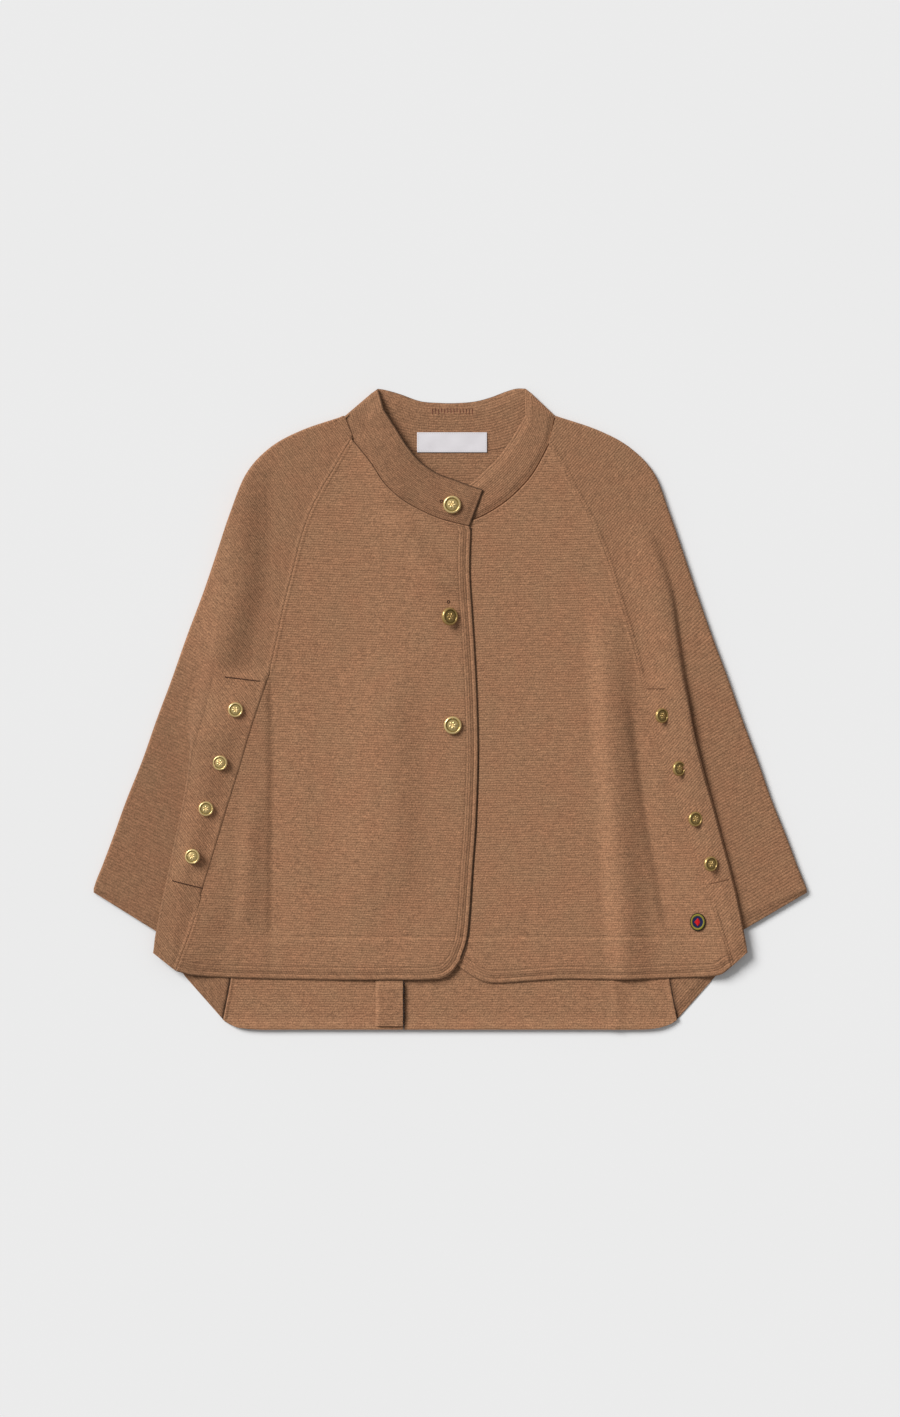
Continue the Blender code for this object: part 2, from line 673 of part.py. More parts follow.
width, depth, thick = LABEL_SIZE
x, y = LABEL_CENTRE
corners = ((-0.5, -0.5), (0.5, -0.5), (0.5, 0.5), (-0.5, 0.5))
label = [(x + across * width, y + up * depth) for across, up in corners]
flat_piece("neck_label", label, CLOTH + 0.3, thick, WHITE)
cloth_patch("front_badge", BADGE_CENTRE, BADGE_SIZE, GAP, OLIVE)

for k in range(len(FRONT_BUTTONS["x"])):
    x, y, tilt = (FRONT_BUTTONS[column][k] for column in ("x", "y", "tilt"))
    name = f"button_front_{k + 1}"
    button(name, BUTTON_SIZES["front"], x, y, front_top, math.radians(tilt), GOLD)
side_tops = {side: side_top(side) for side in SIDES}
for k in range(len(SIDE_BUTTONS["x"])):
    side, x, y, tilt = (SIDE_BUTTONS[column][k] for column in ("side", "x", "y", "tilt"))
    name = f"button_{'left' if side < 0 else 'right'}_{k % 4 + 1}"
    button(name, BUTTON_SIZES["side"], x, y, side_tops[side], math.radians(tilt), GOLD)
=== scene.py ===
"""A camel knit cape laid flat: its cloth, seams, gold buttons, label and badge. Metres, +Z up.

The cloth follows the same sections as the solids that it stands for. Tables are in
millimetres from the middle of the cape, +X to the viewer's right and +Y to the neck.
"""

import math
from functools import partial

import bpy
import numpy as np
from mathutils import Matrix, Vector
from mathutils.bvhtree import BVHTree


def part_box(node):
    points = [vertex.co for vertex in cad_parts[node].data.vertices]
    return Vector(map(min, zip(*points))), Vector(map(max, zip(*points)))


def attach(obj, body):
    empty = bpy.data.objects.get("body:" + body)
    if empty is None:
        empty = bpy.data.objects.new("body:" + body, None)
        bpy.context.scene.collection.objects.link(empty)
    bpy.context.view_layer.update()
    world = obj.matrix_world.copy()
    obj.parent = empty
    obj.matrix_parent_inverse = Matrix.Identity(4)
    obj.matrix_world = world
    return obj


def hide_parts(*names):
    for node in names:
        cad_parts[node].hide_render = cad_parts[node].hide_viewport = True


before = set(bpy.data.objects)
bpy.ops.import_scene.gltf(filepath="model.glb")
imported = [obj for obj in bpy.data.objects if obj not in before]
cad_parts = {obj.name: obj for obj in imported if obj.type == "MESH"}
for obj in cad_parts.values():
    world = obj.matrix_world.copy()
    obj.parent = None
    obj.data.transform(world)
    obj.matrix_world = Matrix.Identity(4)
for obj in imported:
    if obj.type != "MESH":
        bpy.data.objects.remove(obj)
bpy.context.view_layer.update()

MM = 0.001

# Sides: -1 is the viewer's left and 1 the viewer's right. Tones multiply the yarn's colour; most of them are
# painted shade, and the left placket's is painted light.

# The cloth's wall and the layers that it lies in
CLOTH = 2.4
GAP = 0.4
LAYER = CLOTH + GAP
FLOOR_LAYER = CLOTH / 2
TOP_LAYER = FLOOR_LAYER + LAYER
FOLD_RADIUS = LAYER / 2
FOLD_REACH = FOLD_RADIUS + CLOTH / 2
BEND_LENGTH = math.pi * FOLD_RADIUS
EDGE_ROUND = 0.85

# How finely the cloth is divided
SECTIONS = 15
ROWS_LENGTH = 480.0
ROW_PITCH = 2.2
FINE_PITCH = 0.9
FOLD_COLUMNS = 10
FRONT_WIDTH = 240.0
BACK_WIDTH = 455.0
STRIP_WIDTH = 100.0
COLLAR_HEIGHT = 48.0
COLLAR_LENGTH = 150.0

# Seams, slits and overlaps
SEAM = 0.5
SEAM_GAPS = {-1: 0.5, 1: 0.12}
SEAM_LIFT = 4.4
SEAM_LIFT_WIDTH = 45.0
SEAM_LIFT_START = -126.0
SEAM_LIFT_LENGTH = 115.0
SLIT_TOP = {-1: 28.0, 1: 19.5}
SLIT_BOTTOM = {-1: -176.0, 1: -173.5}
SLIT_EDGES = {-1: (0.15, 26.0), 1: (0.12, 16.0)}
SLIT_SETBACK = {-1: 0.9, 1: 0.0}
UNDERLAP_TOP = 25.0
UNDERLAP_BOTTOM = 10.0
OVERLAP_START = -110.0
OVERLAP_END = -17.0
CUFF_RISE = 25.0

# Finished edges and the lines beside them
BAND = 12.5
HEM_LINE = -230.5
FRONT_HEM = -271.5
COLLAR_LINE = 8.0
COLLAR_LIFT = 6.0
THIN_EDGE = 0.28
THIN_WIDTH = 11.0
PRESS = 0.3
EDGE_MAP = 2.5
FAR = 1000.0

# The knit
RIB = 2.45
STITCH = 1.7
SIDE_RIBS = {-1: -52.0, 1: 50.0}
SIDE_RIBS_OUTER = {-1: -26.0, 1: 30.0}
FRONT_RIBS = {-1: -2.0, 1: 1.0}

# The back's vent and its band
VENT_LEFT = -74.5
VENT_RIGHT = -46.5
VENT_TOP = -160.0
VENT_BOTTOM = -318.0
VENT_BAND = 1.3
VENT_SLIT = 0.6
VENT_LIFT = 2.4
VENT_SHADE = 5.0

# Tones, mostly painted shade with one painted light, and the pleat that they belong to
# Painted shade: the side pieces darker than the fronts, their lower wings darker still, the left most.
SIDE_PAINTED_SHADE = 0.93
WING_PAINTED_SHADES = {-1: 0.84, 1: 0.91}
# Painted shade in the left pleat's bend.
PLEAT_PAINTED_SHADE = 0.8
PLEAT_SPREAD = {-1: 1.4, 1: 0.0}
# Painted light on the left placket.
PLACKET_PAINTED_LIGHT = 0.15
BAND_TONE = 0.96
# Painted shade on the collar's left front, back and right front.
COLLAR_PAINTED_SHADES = (0.84, 0.9, 0.94)
BACK_SEAM_SHADE = 0.62
EDGE_SHADE = 0.8
EDGE_SHADE_WIDTH = 2.6
CREASE_SHADE = 0.12
# Painted shade in the right pleat's crevice, and how far it reaches.
CREVICE_PAINTED_SHADE = 0.88
CREVICE_WIDTH = 2.8

# The camera and the light
CAMERA_HEIGHT = 3.0
CLOTH_TOP = 0.007
SENSOR = 36.0
FRAME_LENGTH = 1.417
FLOOR_SIDE = 30.0
SKY = 0.34
SUN = 3.95
SUN_SPREAD = 28.0
SUN_FROM = (-0.64, 0.53, 0.58)


def table(columns, *rows):
    """The rows as one array for each named column."""
    names = columns.split()
    return {name: np.array([row[k] for row in rows], float) for k, name in enumerate(names)}


LEFT_SIDE = table(
    "outer_x outer_y seam_x seam_y back_x back_y fold_x fold_y turn lap",
    (-107.7, 292.6, -98.7, 269.6, -98, 282.8, -103, 281.3, 0, 2),
    (-149, 278.5, -115, 241.5, -107, 253.5, -132, 260.5, 0, 2),
    (-180, 261.5, -128, 219.5, -116, 219.5, -154, 240.5, 0, 2),
    (-204, 235.5, -140, 195.5, -124, 184.5, -174, 215.5, 0, 2),
    (-220.5, 195.5, -149.5, 167.5, -133, 148.5, -192, 178.5, 0, 2),
    (-233.5, 156.5, -157.5, 135.5, -142, 111.5, -206, 142.5, 0, 2),
    (-247, 116.5, -166, 102.5, -151, 74.5, -220, 106.5, 0, 2),
    (-263.5, 72.5, -175, 60.5, -161, 32.5, -236, 66.5, 10, 2),
    (-279, 28.5, -184, 23.5, -171, -9.5, -249, 26.5, 35, 2),
    (-294, -11.5, -197.5, -17.5, -181, -51.5, -257.5, -13.5, 80, 2),
    (-308, -51.5, -210, -59.5, -191, -94.5, -261.5, -53.5, 135, 3),
    (-324, -91.5, -223, -101.5, -200, -137.5, -267.5, -94.5, 180, 6),
    (-337, -127.5, -235, -141.5, -208, -181.5, -275.5, -132.5, 180, 10),
    (-347.5, -155.5, -246.5, -179.5, -213, -221.5, -281.5, -162.5, 180, 13),
    (-354, -171.5, -257.5, -218.5, -219, -266.5, -288.5, -194.5, 180, 16),
    (-358, -184, -274, -262.5, -227.5, -311.5, -297.5, -243.5, 180, 19),
)

RIGHT_SIDE = table(
    "outer_x outer_y seam_x seam_y back_x back_y fold_x fold_y turn lap",
    (107.7, 292.6, 99.8, 264.6, 98, 282.8, 104, 279.9, 0, 2),
    (149, 278.5, 111, 245.5, 107, 253.5, 131, 262.5, 0, 2),
    (180, 261.5, 124, 221.5, 116, 219.5, 153, 241.5, 0, 2),
    (204.5, 235.5, 137, 197.5, 124, 184.5, 172, 216.5, 0, 2),
    (220, 195.5, 149, 173, 133, 148.5, 193, 185.5, 5, 2),
    (233.5, 156.5, 159.5, 144.5, 142, 111.5, 210, 151.5, 20, 2),
    (247, 116.5, 169.5, 111.5, 151, 74.5, 221.5, 114, 40, 2),
    (262.5, 72.5, 182, 70.5, 161, 32.5, 227.5, 70.5, 60, 2),
    (279, 28.5, 192.5, 26.5, 171, -9.5, 233.5, 27.5, 85, 2),
    (293, -11.5, 200.5, -15.5, 181, -51.5, 242, -13.5, 120, 2),
    (308, -51.5, 214, -57.5, 191, -94.5, 252.5, -54.5, 155, 3),
    (322, -91.5, 229, -101.5, 200, -137.5, 264, -97.5, 180, 5),
    (336.5, -127.5, 243, -142.5, 208, -181.5, 274.5, -136.5, 180, 7),
    (347, -155.5, 256, -177.5, 213, -221.5, 282, -164.5, 180, 8),
    (353.5, -171.5, 269, -217.5, 219, -266.5, 288.5, -192.5, 180, 9),
    (358.5, -184, 281.5, -258, 227.5, -311.5, 298, -243, 180, 10),
)
SIDES = {-1: LEFT_SIDE, 1: RIGHT_SIDE}

BACK_HEM_BOW = table(
    "across inward",
    (0, 0),
    (0.19, 11),
    (0.385, 21.5),
    (0.47, 12),
    (0.68, 3.9),
    (1, 0),
)

LEFT_COLLAR = table(
    "neck_x neck_y top_x top_y",
    (-98.5, 270, -66, 299),
    (-79.5, 246.5, -54, 280),
    (-66, 226, -42, 261.5),
    (-49, 210, -29, 246.5),
    (-30.5, 199, -13, 235.5),
    (-12, 190.7, 3, 229.5),
    (6, 185.5, 19, 223.5),
    (20, 182.5, 33.5, 218.5),
)
RIGHT_COLLAR = table(
    "neck_x neck_y top_x top_y",
    (99.5, 265, 75.5, 294),
    (84.5, 237.5, 63, 272.5),
    (70.5, 220.5, 49, 252.5),
    (55.5, 207, 34, 237.5),
    (40, 196.8, 21.5, 226),
    (28, 190.7, 11, 220),
    (12, 185.5, 0, 216.5),
    (-5, 181.5, -10, 215),
)
COLLARS = {-1: LEFT_COLLAR, 1: RIGHT_COLLAR}

BACK_COLLAR = table(
    "neck_x neck_y top_x top_y",
    (-106.5, 292, -73, 320.5),
    (-97, 284, -64, 319),
    (-82, 272.5, -50, 315),
    (-55, 261.5, -30, 308),
    (-28, 257, -12, 306.3),
    (0, 256, 5, 306),
    (28, 257, 24, 307.5),
    (55, 261.5, 40, 311.5),
    (82, 272.5, 56, 317.5),
    (97.5, 284, 66.5, 320.5),
    (106.5, 292, 76.5, 320.5),
)

LEFT_CENTRE = table(
    "x y",
    (21.5, 181.5),
    (21, 140),
    (24.5, 90),
    (28, 30),
    (30, -40),
    (28, -110),
    (24.5, -160),
    (21.5, -205),
    (18.5, -232),
    (12.5, -250),
)
LEFT_HEM = table(
    "x y",
    (-274, -262.5),
    (-250, -267.5),
    (-200, -270),
    (-130, -271.5),
    (-60, -271.5),
    (-20, -271),
    (-2, -267),
    (12.5, -250),
)
RIGHT_CENTRE = table(
    "x y",
    (-5, 180.5),
    (-8, 140),
    (-11, 80),
    (-13, 0),
    (-13, -100),
    (-13, -180),
    (-12, -225),
    (-3, -247),
    (12, -261),
)
RIGHT_HEM = table(
    "x y",
    (281.5, -258),
    (267, -267),
    (230, -269.5),
    (165, -271.5),
    (110, -271),
    (48, -275),
    (28, -271),
    (12, -261),
)
CENTRES = {-1: LEFT_CENTRE, 1: RIGHT_CENTRE}
HEMS = {-1: LEFT_HEM, 1: RIGHT_HEM}

BACK_HEM = table(
    "x y",
    (-227.5, -311.5),
    (-221, -316),
    (-210, -320),
    (-190, -321.5),
    (-150, -321.5),
    (-60, -321.5),
    (60, -321.5),
    (150, -321.5),
    (190, -321.5),
    (208, -320),
    (221, -316),
    (227.5, -311.5),
)

SOFT_FOLDS = table(
    "x0 y0 x1 y1 x2 y2 left_width right_width height",
    (-207, 262, -213, 120, -238, 15, 40, 33, 6.2),
    (-62, 192, -30, 150, -6, 118, 18, 30, 3.2),
    (-64, 60, -62, -70, -62, -215, 75, 42, 4.2),
    (-199, -85, -202, -150, -207, -225, 14, 18, 2.2),
    (152, 130, 162, -60, 182, -330, 22, 32, 6.4),
    (196, 190, 208, 110, 219, 50, 30, 16, 1.4),
    (-80, 272, -67, 240, -54, 208, 22, 28, 2.2),
)
CREASES = table(
    "x0 y0 x1 y1 x2 y2 left right depth",
    (-180, 60, -178.5, -60, -180.5, -235, 6, 45, 2.2),
    (179, 20, 193, -90, 217, -222, 9, 22, 1.9),
)
TACKS = table(
    "x0 y0 x1 y1",
    (-225, 31.5, -190.5, 27.3),
    (-277.5, -172, -247.5, -179.8),
    (196.5, 19.8, 214.5, 19.8),
    (258.5, -175.5, 278.5, -170.5),
)

EYELETS = table(
    "x y",
    (-8.6, 207.3),
    (-1.6, 106.6),
)
# The row of stitches inside the collar: its left and right ends, top and number
COLLAR_STITCHES = (-18.0, 22.0, 301.2, 14)

THREAD_RINGS = 5
THREAD_SIDES = 6
TACK_PITCH = 0.62
BADGE_CENTRE = (247.6, -213.4)
BADGE_STEP = 6.0
BADGE_RINGS = table(
    "outer inner count",
    (0.5, 0.44, 96),
    (0.455, 0.33, 84),
)

# Each row of buttons: their size, the first one's turn, the turn from one to the next, and their tilts
BUTTONS = {
    "front": (18.0, 0.0, 8.0, (0.0, 30.0, 5.0)),
    "left": (15.0, 0.0, 17.0, (4.0, -4.0, 6.0, -6.0)),
    "right": (15.0, 68.0, 17.0, (32.0, 34.0, 22.0, 26.0)),
}
# The button's profile from its rim: shares of the radius inward and of the dome's height upward
BUTTON_STEPS = ((0.07, 0.24), (0.09, 0.14), (0.08, -0.12), (0.05, -0.28), (0.16, 0.1), (0.2, 0.12))
PETALS = 6
DIM_TILT = 20.0

THREADS = {
    "Navy": (0.008, 0.01, 0.055),
    "Black": (0.008, 0.008, 0.007),
    "Olive": (0.27, 0.23, 0.035),
    "Red": (0.6, 0.012, 0.015),
    "Brown": (0.09, 0.04, 0.022),
    "Camel": (0.21, 0.1, 0.052),
    "Red-brown": (0.2, 0.07, 0.045),
}


def smooth(value):
    """A ramp from 0 to 1 with level ends."""
    ramp = np.clip(value, 0.0, 1.0)
    return ramp * ramp * (3.0 - 2.0 * ramp)


def spline(values, at):
    """A smooth curve through values at 0, 1, 2 and so on, read at the places in at."""
    ends = np.concatenate([[2 * values[0] - values[1]], values, [2 * values[-1] - values[-2]]])
    k = np.clip(np.floor(at).astype(int), 0, len(values) - 2)
    f = at - k
    before, start, end, after = ends[k], ends[k + 1], ends[k + 2], ends[k + 3]
    pull_in, pull_out = (end - before) / 2, (after - start) / 2
    return (
        (2 * f**3 - 3 * f**2 + 1) * start
        + (f**3 - 2 * f**2 + f) * pull_in
        + (3 * f**2 - 2 * f**3) * end
        + (f**3 - f**2) * pull_out
    )


def curve(points, x, y, at):
    """The named x and y columns as a smooth line, read at the places in at."""
    return np.stack([spline(points[x], at), spline(points[y], at)], axis=-1)


def heading(points, x, y, at):
    """The direction in which the named line runs on at each place."""
    before, after = (curve(points, x, y, at + step) for step in (-0.02, 0.02))
    return unit(after - before)


def line_up(side, x, y):
    """A side piece's named line in small steps, from the hem up."""
    return curve(SIDES[side], x, y, np.linspace(0, SECTIONS, 10 * SECTIONS))[::-1]


def circle(count):
    """Unit vectors all round."""
    turns = np.linspace(0, 2 * math.pi, count + 1)[:-1]
    return np.stack([np.cos(turns), np.sin(turns)], axis=-1)


def along_line(points, shares):
    """Points at the given shares of the length of a table's line."""
    last = len(points["x"]) - 1
    fine = curve(points, "x", "y", np.linspace(0, last, 40 * (last + 1)))
    run = np.concatenate([[0], np.cumsum(np.linalg.norm(np.diff(fine, axis=0), axis=1))])
    at = run[-1] * np.asarray(shares)
    return np.stack([np.interp(at, run, fine[:, k]) for k in range(2)], axis=-1)


def unit(vectors):
    return vectors / np.linalg.norm(vectors, axis=-1, keepdims=True)


def between(start, end, shares):
    """Points at the given shares of the way, as rows by shares by xy."""
    return start[:, None, :] + (end - start)[:, None, :] * np.asarray(shares)[None, :, None]


def layer(plan, height):
    """Plan points given a height each."""
    return np.concatenate([plan, np.broadcast_to(height, plan.shape[:-1])[..., None]], axis=-1)


def spaced(length, pitch, *fine_zones):
    """Shares of a length, spaced by pitch, and closer in the zones from a start to an end."""
    places = [0.0]
    while places[-1] < length - FINE_PITCH / 2:
        fine = any(begin <= places[-1] < stop for begin, stop in fine_zones)
        places.append(places[-1] + (FINE_PITCH if fine else pitch))
    return np.array(places[:-1] + [length]) / length


def dent(distance, width):
    """1 at distance 0, falling to 0 at width on both sides."""
    return 1 - smooth(np.abs(distance) / width)


def thinner(distance, least=THIN_EDGE, width=THIN_WIDTH):
    """The share of its thickness that a finished edge keeps, near the edge."""
    return least + (1 - least) * smooth(distance / width)


def no_edge(plan):
    """An edge map for cloth that is far from any finished edge."""
    return np.stack([plan[..., 1], np.full(plan.shape[:-1], FAR)], axis=-1)


def bent_line(folds, k, y):
    """The x at each y of the k-th fold's line through its three points."""
    return np.interp(y, *([folds[f"{axis}{n}"][k] for n in (2, 1, 0)] for axis in "yx"))


def creases(x, y):
    """Narrow pressed valleys in the loose folds."""
    depth = np.zeros_like(x)
    f = CREASES
    for k in range(len(f["x0"])):
        middle = bent_line(f, k, y)
        fade = 0.2 * (f["y0"][k] - f["y2"][k])
        along = smooth((f["y0"][k] - y) / fade) * smooth((y - f["y2"][k]) / (0.3 * fade))
        width = np.where(x < middle, f["left"][k], f["right"][k])
        sharp = np.clip(1 - np.abs(x - middle) / width, 0, 1)
        depth = np.maximum(depth, f["depth"][k] * sharp**1.5 * along)
    return depth


def ripple(x, y):
    """The slight unevenness of cloth that was smoothed by hand, from 0 up."""
    waves = (
        np.sin(x / 17.0 + 1.3 * np.sin(y / 61.0))
        + np.sin(y / 13.0 + 1.7 * np.sin(x / 47.0) + 0.6)
        + np.sin((x + 1.4 * y) / 23.0 + 2.0)
    )
    return 0.12 * (waves / 3 + 1)


def soft_folds(x, y):
    """How far the loose folds lift the cloth off its layer."""
    height = np.zeros_like(x)
    f = SOFT_FOLDS
    for k in range(len(f["x0"])):
        off = x - bent_line(f, k, y)
        width = np.where(off < 0, f["left_width"][k], f["right_width"][k])
        across = 0.5 + 0.5 * np.cos(np.pi * np.clip(off / width, -1, 1))
        fade = 0.3 * (f["y0"][k] - f["y2"][k])
        along = smooth((f["y0"][k] + 10 - y) / fade) * smooth((y - f["y2"][k] + 10) / fade)
        height = np.maximum(height, f["height"][k] * across * along)
    return height


def seam_x(side, y):
    """The front seam's x at each y."""
    fine = line_up(side, "seam_x", "seam_y")
    return np.interp(y, fine[:, 1], fine[:, 0])


def seam_lift(side, x, y):
    """Near the hem the front climbs to the folded side piece that it is sewn to."""
    inward = side * (seam_x(side, y) - x)
    rise = smooth((SEAM_LIFT_START - y) / SEAM_LIFT_LENGTH)
    return SEAM_LIFT * rise * (1 - smooth(inward / SEAM_LIFT_WIDTH))


def lapped(side, y):
    """1 where the side piece lies on the front's underlap, 0 where they are seamed."""
    top, bottom = SLIT_TOP[side], SLIT_BOTTOM[side]
    return smooth((top + 16 - y) / 14) * smooth((y - bottom + 34) / 20)


def underlap(side, y):
    """How far the front runs on under the side piece, along the slit."""
    top, bottom = SLIT_TOP[side], SLIT_BOTTOM[side]
    share = np.clip((y - bottom) / (top - bottom), 0, 1)
    width = UNDERLAP_BOTTOM + (UNDERLAP_TOP - UNDERLAP_BOTTOM) * share
    return width * smooth((top + 4 - y) / 6) * smooth((y - bottom + 14) / 6)


def front_height(side, x, y):
    """The middle of a front's wall: its layer, its folds and its overlaps."""
    folds = soft_folds(x, y) * (1 if side < 0 else smooth((x - 10) / 20))
    over_vent = smooth((x - VENT_LEFT + 48) / 45) * smooth((VENT_RIGHT + 48 - x) / 45)
    over_vent = over_vent * smooth((VENT_TOP + 84 - y) / 80)
    lifted = (VENT_BAND + GAP) * over_vent
    if side < 0:
        over_front = smooth((x - OVERLAP_START) / (OVERLAP_END - OVERLAP_START))
        lifted = np.maximum(lifted, LAYER * over_front)
    return TOP_LAYER + folds + seam_lift(side, x, y) + lifted + ripple(x, y) - creases(x, y)


def section_rows():
    """Places along the sections, close together at the neck and over the hem."""
    zones = [(0, 5), (ROWS_LENGTH - 49, ROWS_LENGTH - 36), (ROWS_LENGTH - 16, ROWS_LENGTH)]
    return SECTIONS * spaced(ROWS_LENGTH, ROW_PITCH, *zones)


def rib_angle_uv(x, y, degrees):
    """Along and across straight ribs that run at an angle to +X."""
    c, s = math.cos(math.radians(degrees)), math.sin(math.radians(degrees))
    return x * c + y * s, y * c - x * s


def side_cloth(side):
    """The side piece's wall middle and its knit's map, rows by columns."""
    at = section_rows()
    points = SIDES[side]
    outer = curve(points, "outer_x", "outer_y", at)
    along = heading(points, "outer_x", "outer_y", at)
    outward = np.stack([along[:, 1], -along[:, 0]], axis=-1) * -side
    fold = outer - outward * FOLD_REACH
    seam = curve(points, "seam_x", "seam_y", at)
    back = curve(points, "back_x", "back_y", at)
    inward = unit(seam - outer)
    opened = (underlap(side, seam[:, 1]) > 6)[:, None]
    seam = seam - inward * (SEAM_GAPS[side] / 2 + SLIT_SETBACK[side] * opened)
    back = back - unit(back - outer) * (SEAM / 2)
    turn = np.radians(np.clip(spline(points["turn"], at), 1.0, 180.0))
    lap = np.clip(spline(points["lap"], at), 2.0, None)
    folded = smooth((np.degrees(turn) - 90) / 90)
    flat = smooth(1 - np.degrees(turn) / 120)
    wider = 1 + PLEAT_SPREAD[side] * (1 - smooth((np.degrees(turn) - 60) / 70))
    turn = turn / wider
    radius = BEND_LENGTH * wider / turn
    reach = 2 * radius * np.sin(turn) + lap * np.cos(turn)
    start = folded * (lap + radius + CLOTH / 2) - (1 - folded) * reach / 2
    pleat = curve(points, "fold_x", "fold_y", at) + inward * start[:, None]
    to_hem = smooth((at - SECTIONS + 2) / 2)[:, None]
    cuff = -heading(points, "fold_x", "fold_y", at) * CUFF_RISE * to_hem

    shares = 1 - spaced(STRIP_WIDTH, 4.0, (0, 3), (STRIP_WIDTH - 3, STRIP_WIDTH))
    bow_in = np.interp(shares, BACK_HEM_BOW["across"], BACK_HEM_BOW["inward"])
    under = between(fold, back, shares)
    run = unit(back - fold)
    bow = np.stack([-run[:, 1], run[:, 0]], axis=-1)
    bow = bow * np.sign((bow * inward).sum(axis=-1, keepdims=True))
    under = under + bow[:, None, :] * to_hem[..., None] * bow_in[None, :, None]
    columns = [layer(under, FLOOR_LAYER)]

    for angle in np.radians(np.linspace(-90, 90, FOLD_COLUMNS + 1)[1:-1]):
        plan = fold + outward * FOLD_RADIUS * math.cos(angle)
        columns.append(layer(plan, FLOOR_LAYER + FOLD_RADIUS * (1 + math.sin(angle)))[:, None, :])

    shares = np.linspace(0, 1, 30)
    lower = between(fold, pleat, shares) + cuff[:, None, :] * shares[None, :, None]
    columns.append(layer(lower, loose(lower, smooth(5 * shares)[None, :])))

    bends = np.linspace(0, 1, FOLD_COLUMNS + 1)
    for share in bends[1:]:
        angle = turn * share
        plan = pleat + cuff + inward * (radius * np.sin(angle))[:, None]
        columns.append(layer(plan, loose(plan) + radius * (1 - np.cos(angle)))[:, None, :])
    for share in bends[::-1]:
        angle = turn * share
        step = 2 * radius * np.sin(turn) - radius * np.sin(angle) + lap * np.cos(turn)
        rise = 2 * radius * (1 - np.cos(turn)) - radius * (1 - np.cos(angle)) + lap * np.sin(turn)
        plan = pleat + inward * step[:, None]
        columns.append(layer(plan, loose(plan) + rise)[:, None, :])
    top_start = pleat + inward * reach[:, None]
    crest = 2 * radius * (1 - np.cos(turn)) + lap * np.sin(turn)

    shares = spaced(STRIP_WIDTH, 2.6, (0, 5), (STRIP_WIDTH - 7, STRIP_WIDTH))[1:]
    top = between(top_start, seam, shares)
    x, y = top[..., 0], top[..., 1]
    across = np.linalg.norm(seam - top_start, axis=-1)[:, None]
    to_seam = across * (1 - shares[None, :])
    clear = (lap + 1)[:, None] * folded[:, None]
    edge = smooth((across - clear - to_seam) / np.maximum(across - clear - 1.0, 4.0))
    seam_height = seam_lift(side, x, y) + LAYER * lapped(side, y)
    height = loose(top) + crest[:, None] * (1 - edge) + seam_height * edge
    height = height - PRESS * lapped(side, y) * (1 - smooth(to_seam / 4))
    columns.append(layer(top, height + seam_welt(side, to_seam, y)))
    rows = np.concatenate(columns, axis=1)
    rows[0, :, :2] += unit(rows[0, :, :2] - rows[3, :, :2]) * 1.7
    keep = np.ones(rows.shape[:2])
    free = np.clip(lapped(side, y), 0, 1)
    keep[:, -top.shape[1] :] = 1 - (1 - thinner(to_seam, *SLIT_EDGES[side])) * free
    keep = np.minimum(keep, thinner((SECTIONS - at) / SECTIONS * ROWS_LENGTH)[:, None])
    first_bend = rows.shape[1] - top.shape[1] - 2 * FOLD_COLUMNS - 1
    bent = slice(first_bend, -top.shape[1])
    from_bend = np.linalg.norm(rows[..., :2] - (pleat + cuff)[:, None], axis=-1)
    wing = np.zeros(rows.shape[:2])
    wing[:, :first_bend] = smooth(from_bend[:, :first_bend] / 14 - 0.3)
    # Painted shade: the side piece darker, and its lower wing darker still.
    tone = SIDE_PAINTED_SHADE + (WING_PAINTED_SHADES[side] - SIDE_PAINTED_SHADE) * wing * smooth((90 - rows[..., 1]) / 120)
    if side > 0:
        # Painted shade in the crevice under the right pleat's fold.
        crevice_shade_mask = 1 - smooth((from_bend - 1.0) / CREVICE_WIDTH)
        crevice_shade_mask[:, first_bend + FOLD_COLUMNS // 2 :] = 0
        tone = tone * (1 - CREVICE_PAINTED_SHADE * crevice_shade_mask * folded[:, None])
        keep[:, bent] = np.minimum(keep[:, bent], 1 - 0.5 * folded[:, None])
    else:
        # Painted shade in the left pleat's bend, where it is folded.
        tone[:, bent] *= PLEAT_PAINTED_SHADE + (1 - PLEAT_PAINTED_SHADE) * flat[:, None]
        # Painted light on the left placket, where it lies on the underlap.
        tone[:, -top.shape[1] :] += PLACKET_PAINTED_LIGHT * free * smooth((y - SLIT_BOTTOM[side] + 10) / 20)
    edge_map = no_edge(rows[..., :2])
    to_back = np.linalg.norm(under - back[:, None], axis=-1)
    shown = smooth((FRONT_HEM + 10 - under[..., 1]) / 6)
    tone[:, : under.shape[1]] *= 1 - BACK_SEAM_SHADE * shown * (1 - smooth(to_back / 5.0))
    edge_map[:, : under.shape[1], 1] = np.where(to_back < EDGE_MAP, to_back, FAR)
    if side < 0:
        to_slit = to_seam + FAR * (1 - free)
        edge_map[:, -top.shape[1] :, 1] = np.where(to_slit < EDGE_MAP, to_slit, FAR)
    return {"grid": rows, "ribs": side_ribs(side, rows), "keep": keep, "tone": tone, "edge": edge_map}


def loose(plan, share=1.0):
    """The middle of the side piece's top layer, with its loose folds."""
    x, y = plan[..., 0], plan[..., 1]
    return TOP_LAYER + soft_folds(x, y) + ripple(x, y) * share - creases(x, y)


def edge_roll(distance, width, height):
    """The thicker roll of a finished edge, with a slight valley behind it."""
    roll = height * smooth(distance / 1.6) * (1 - smooth((distance - width / 2) / width))
    return roll - 0.25 * height * dent(distance - 1.9 * width, 0.7 * width)


def seam_welt(side, distance, y):
    """The seam's raised welt above the slit."""
    seamed = 1 - lapped(side, y)
    return (0.55 if side < 0 else 0.75) * dent(distance - 1.6, 2.4) * seamed


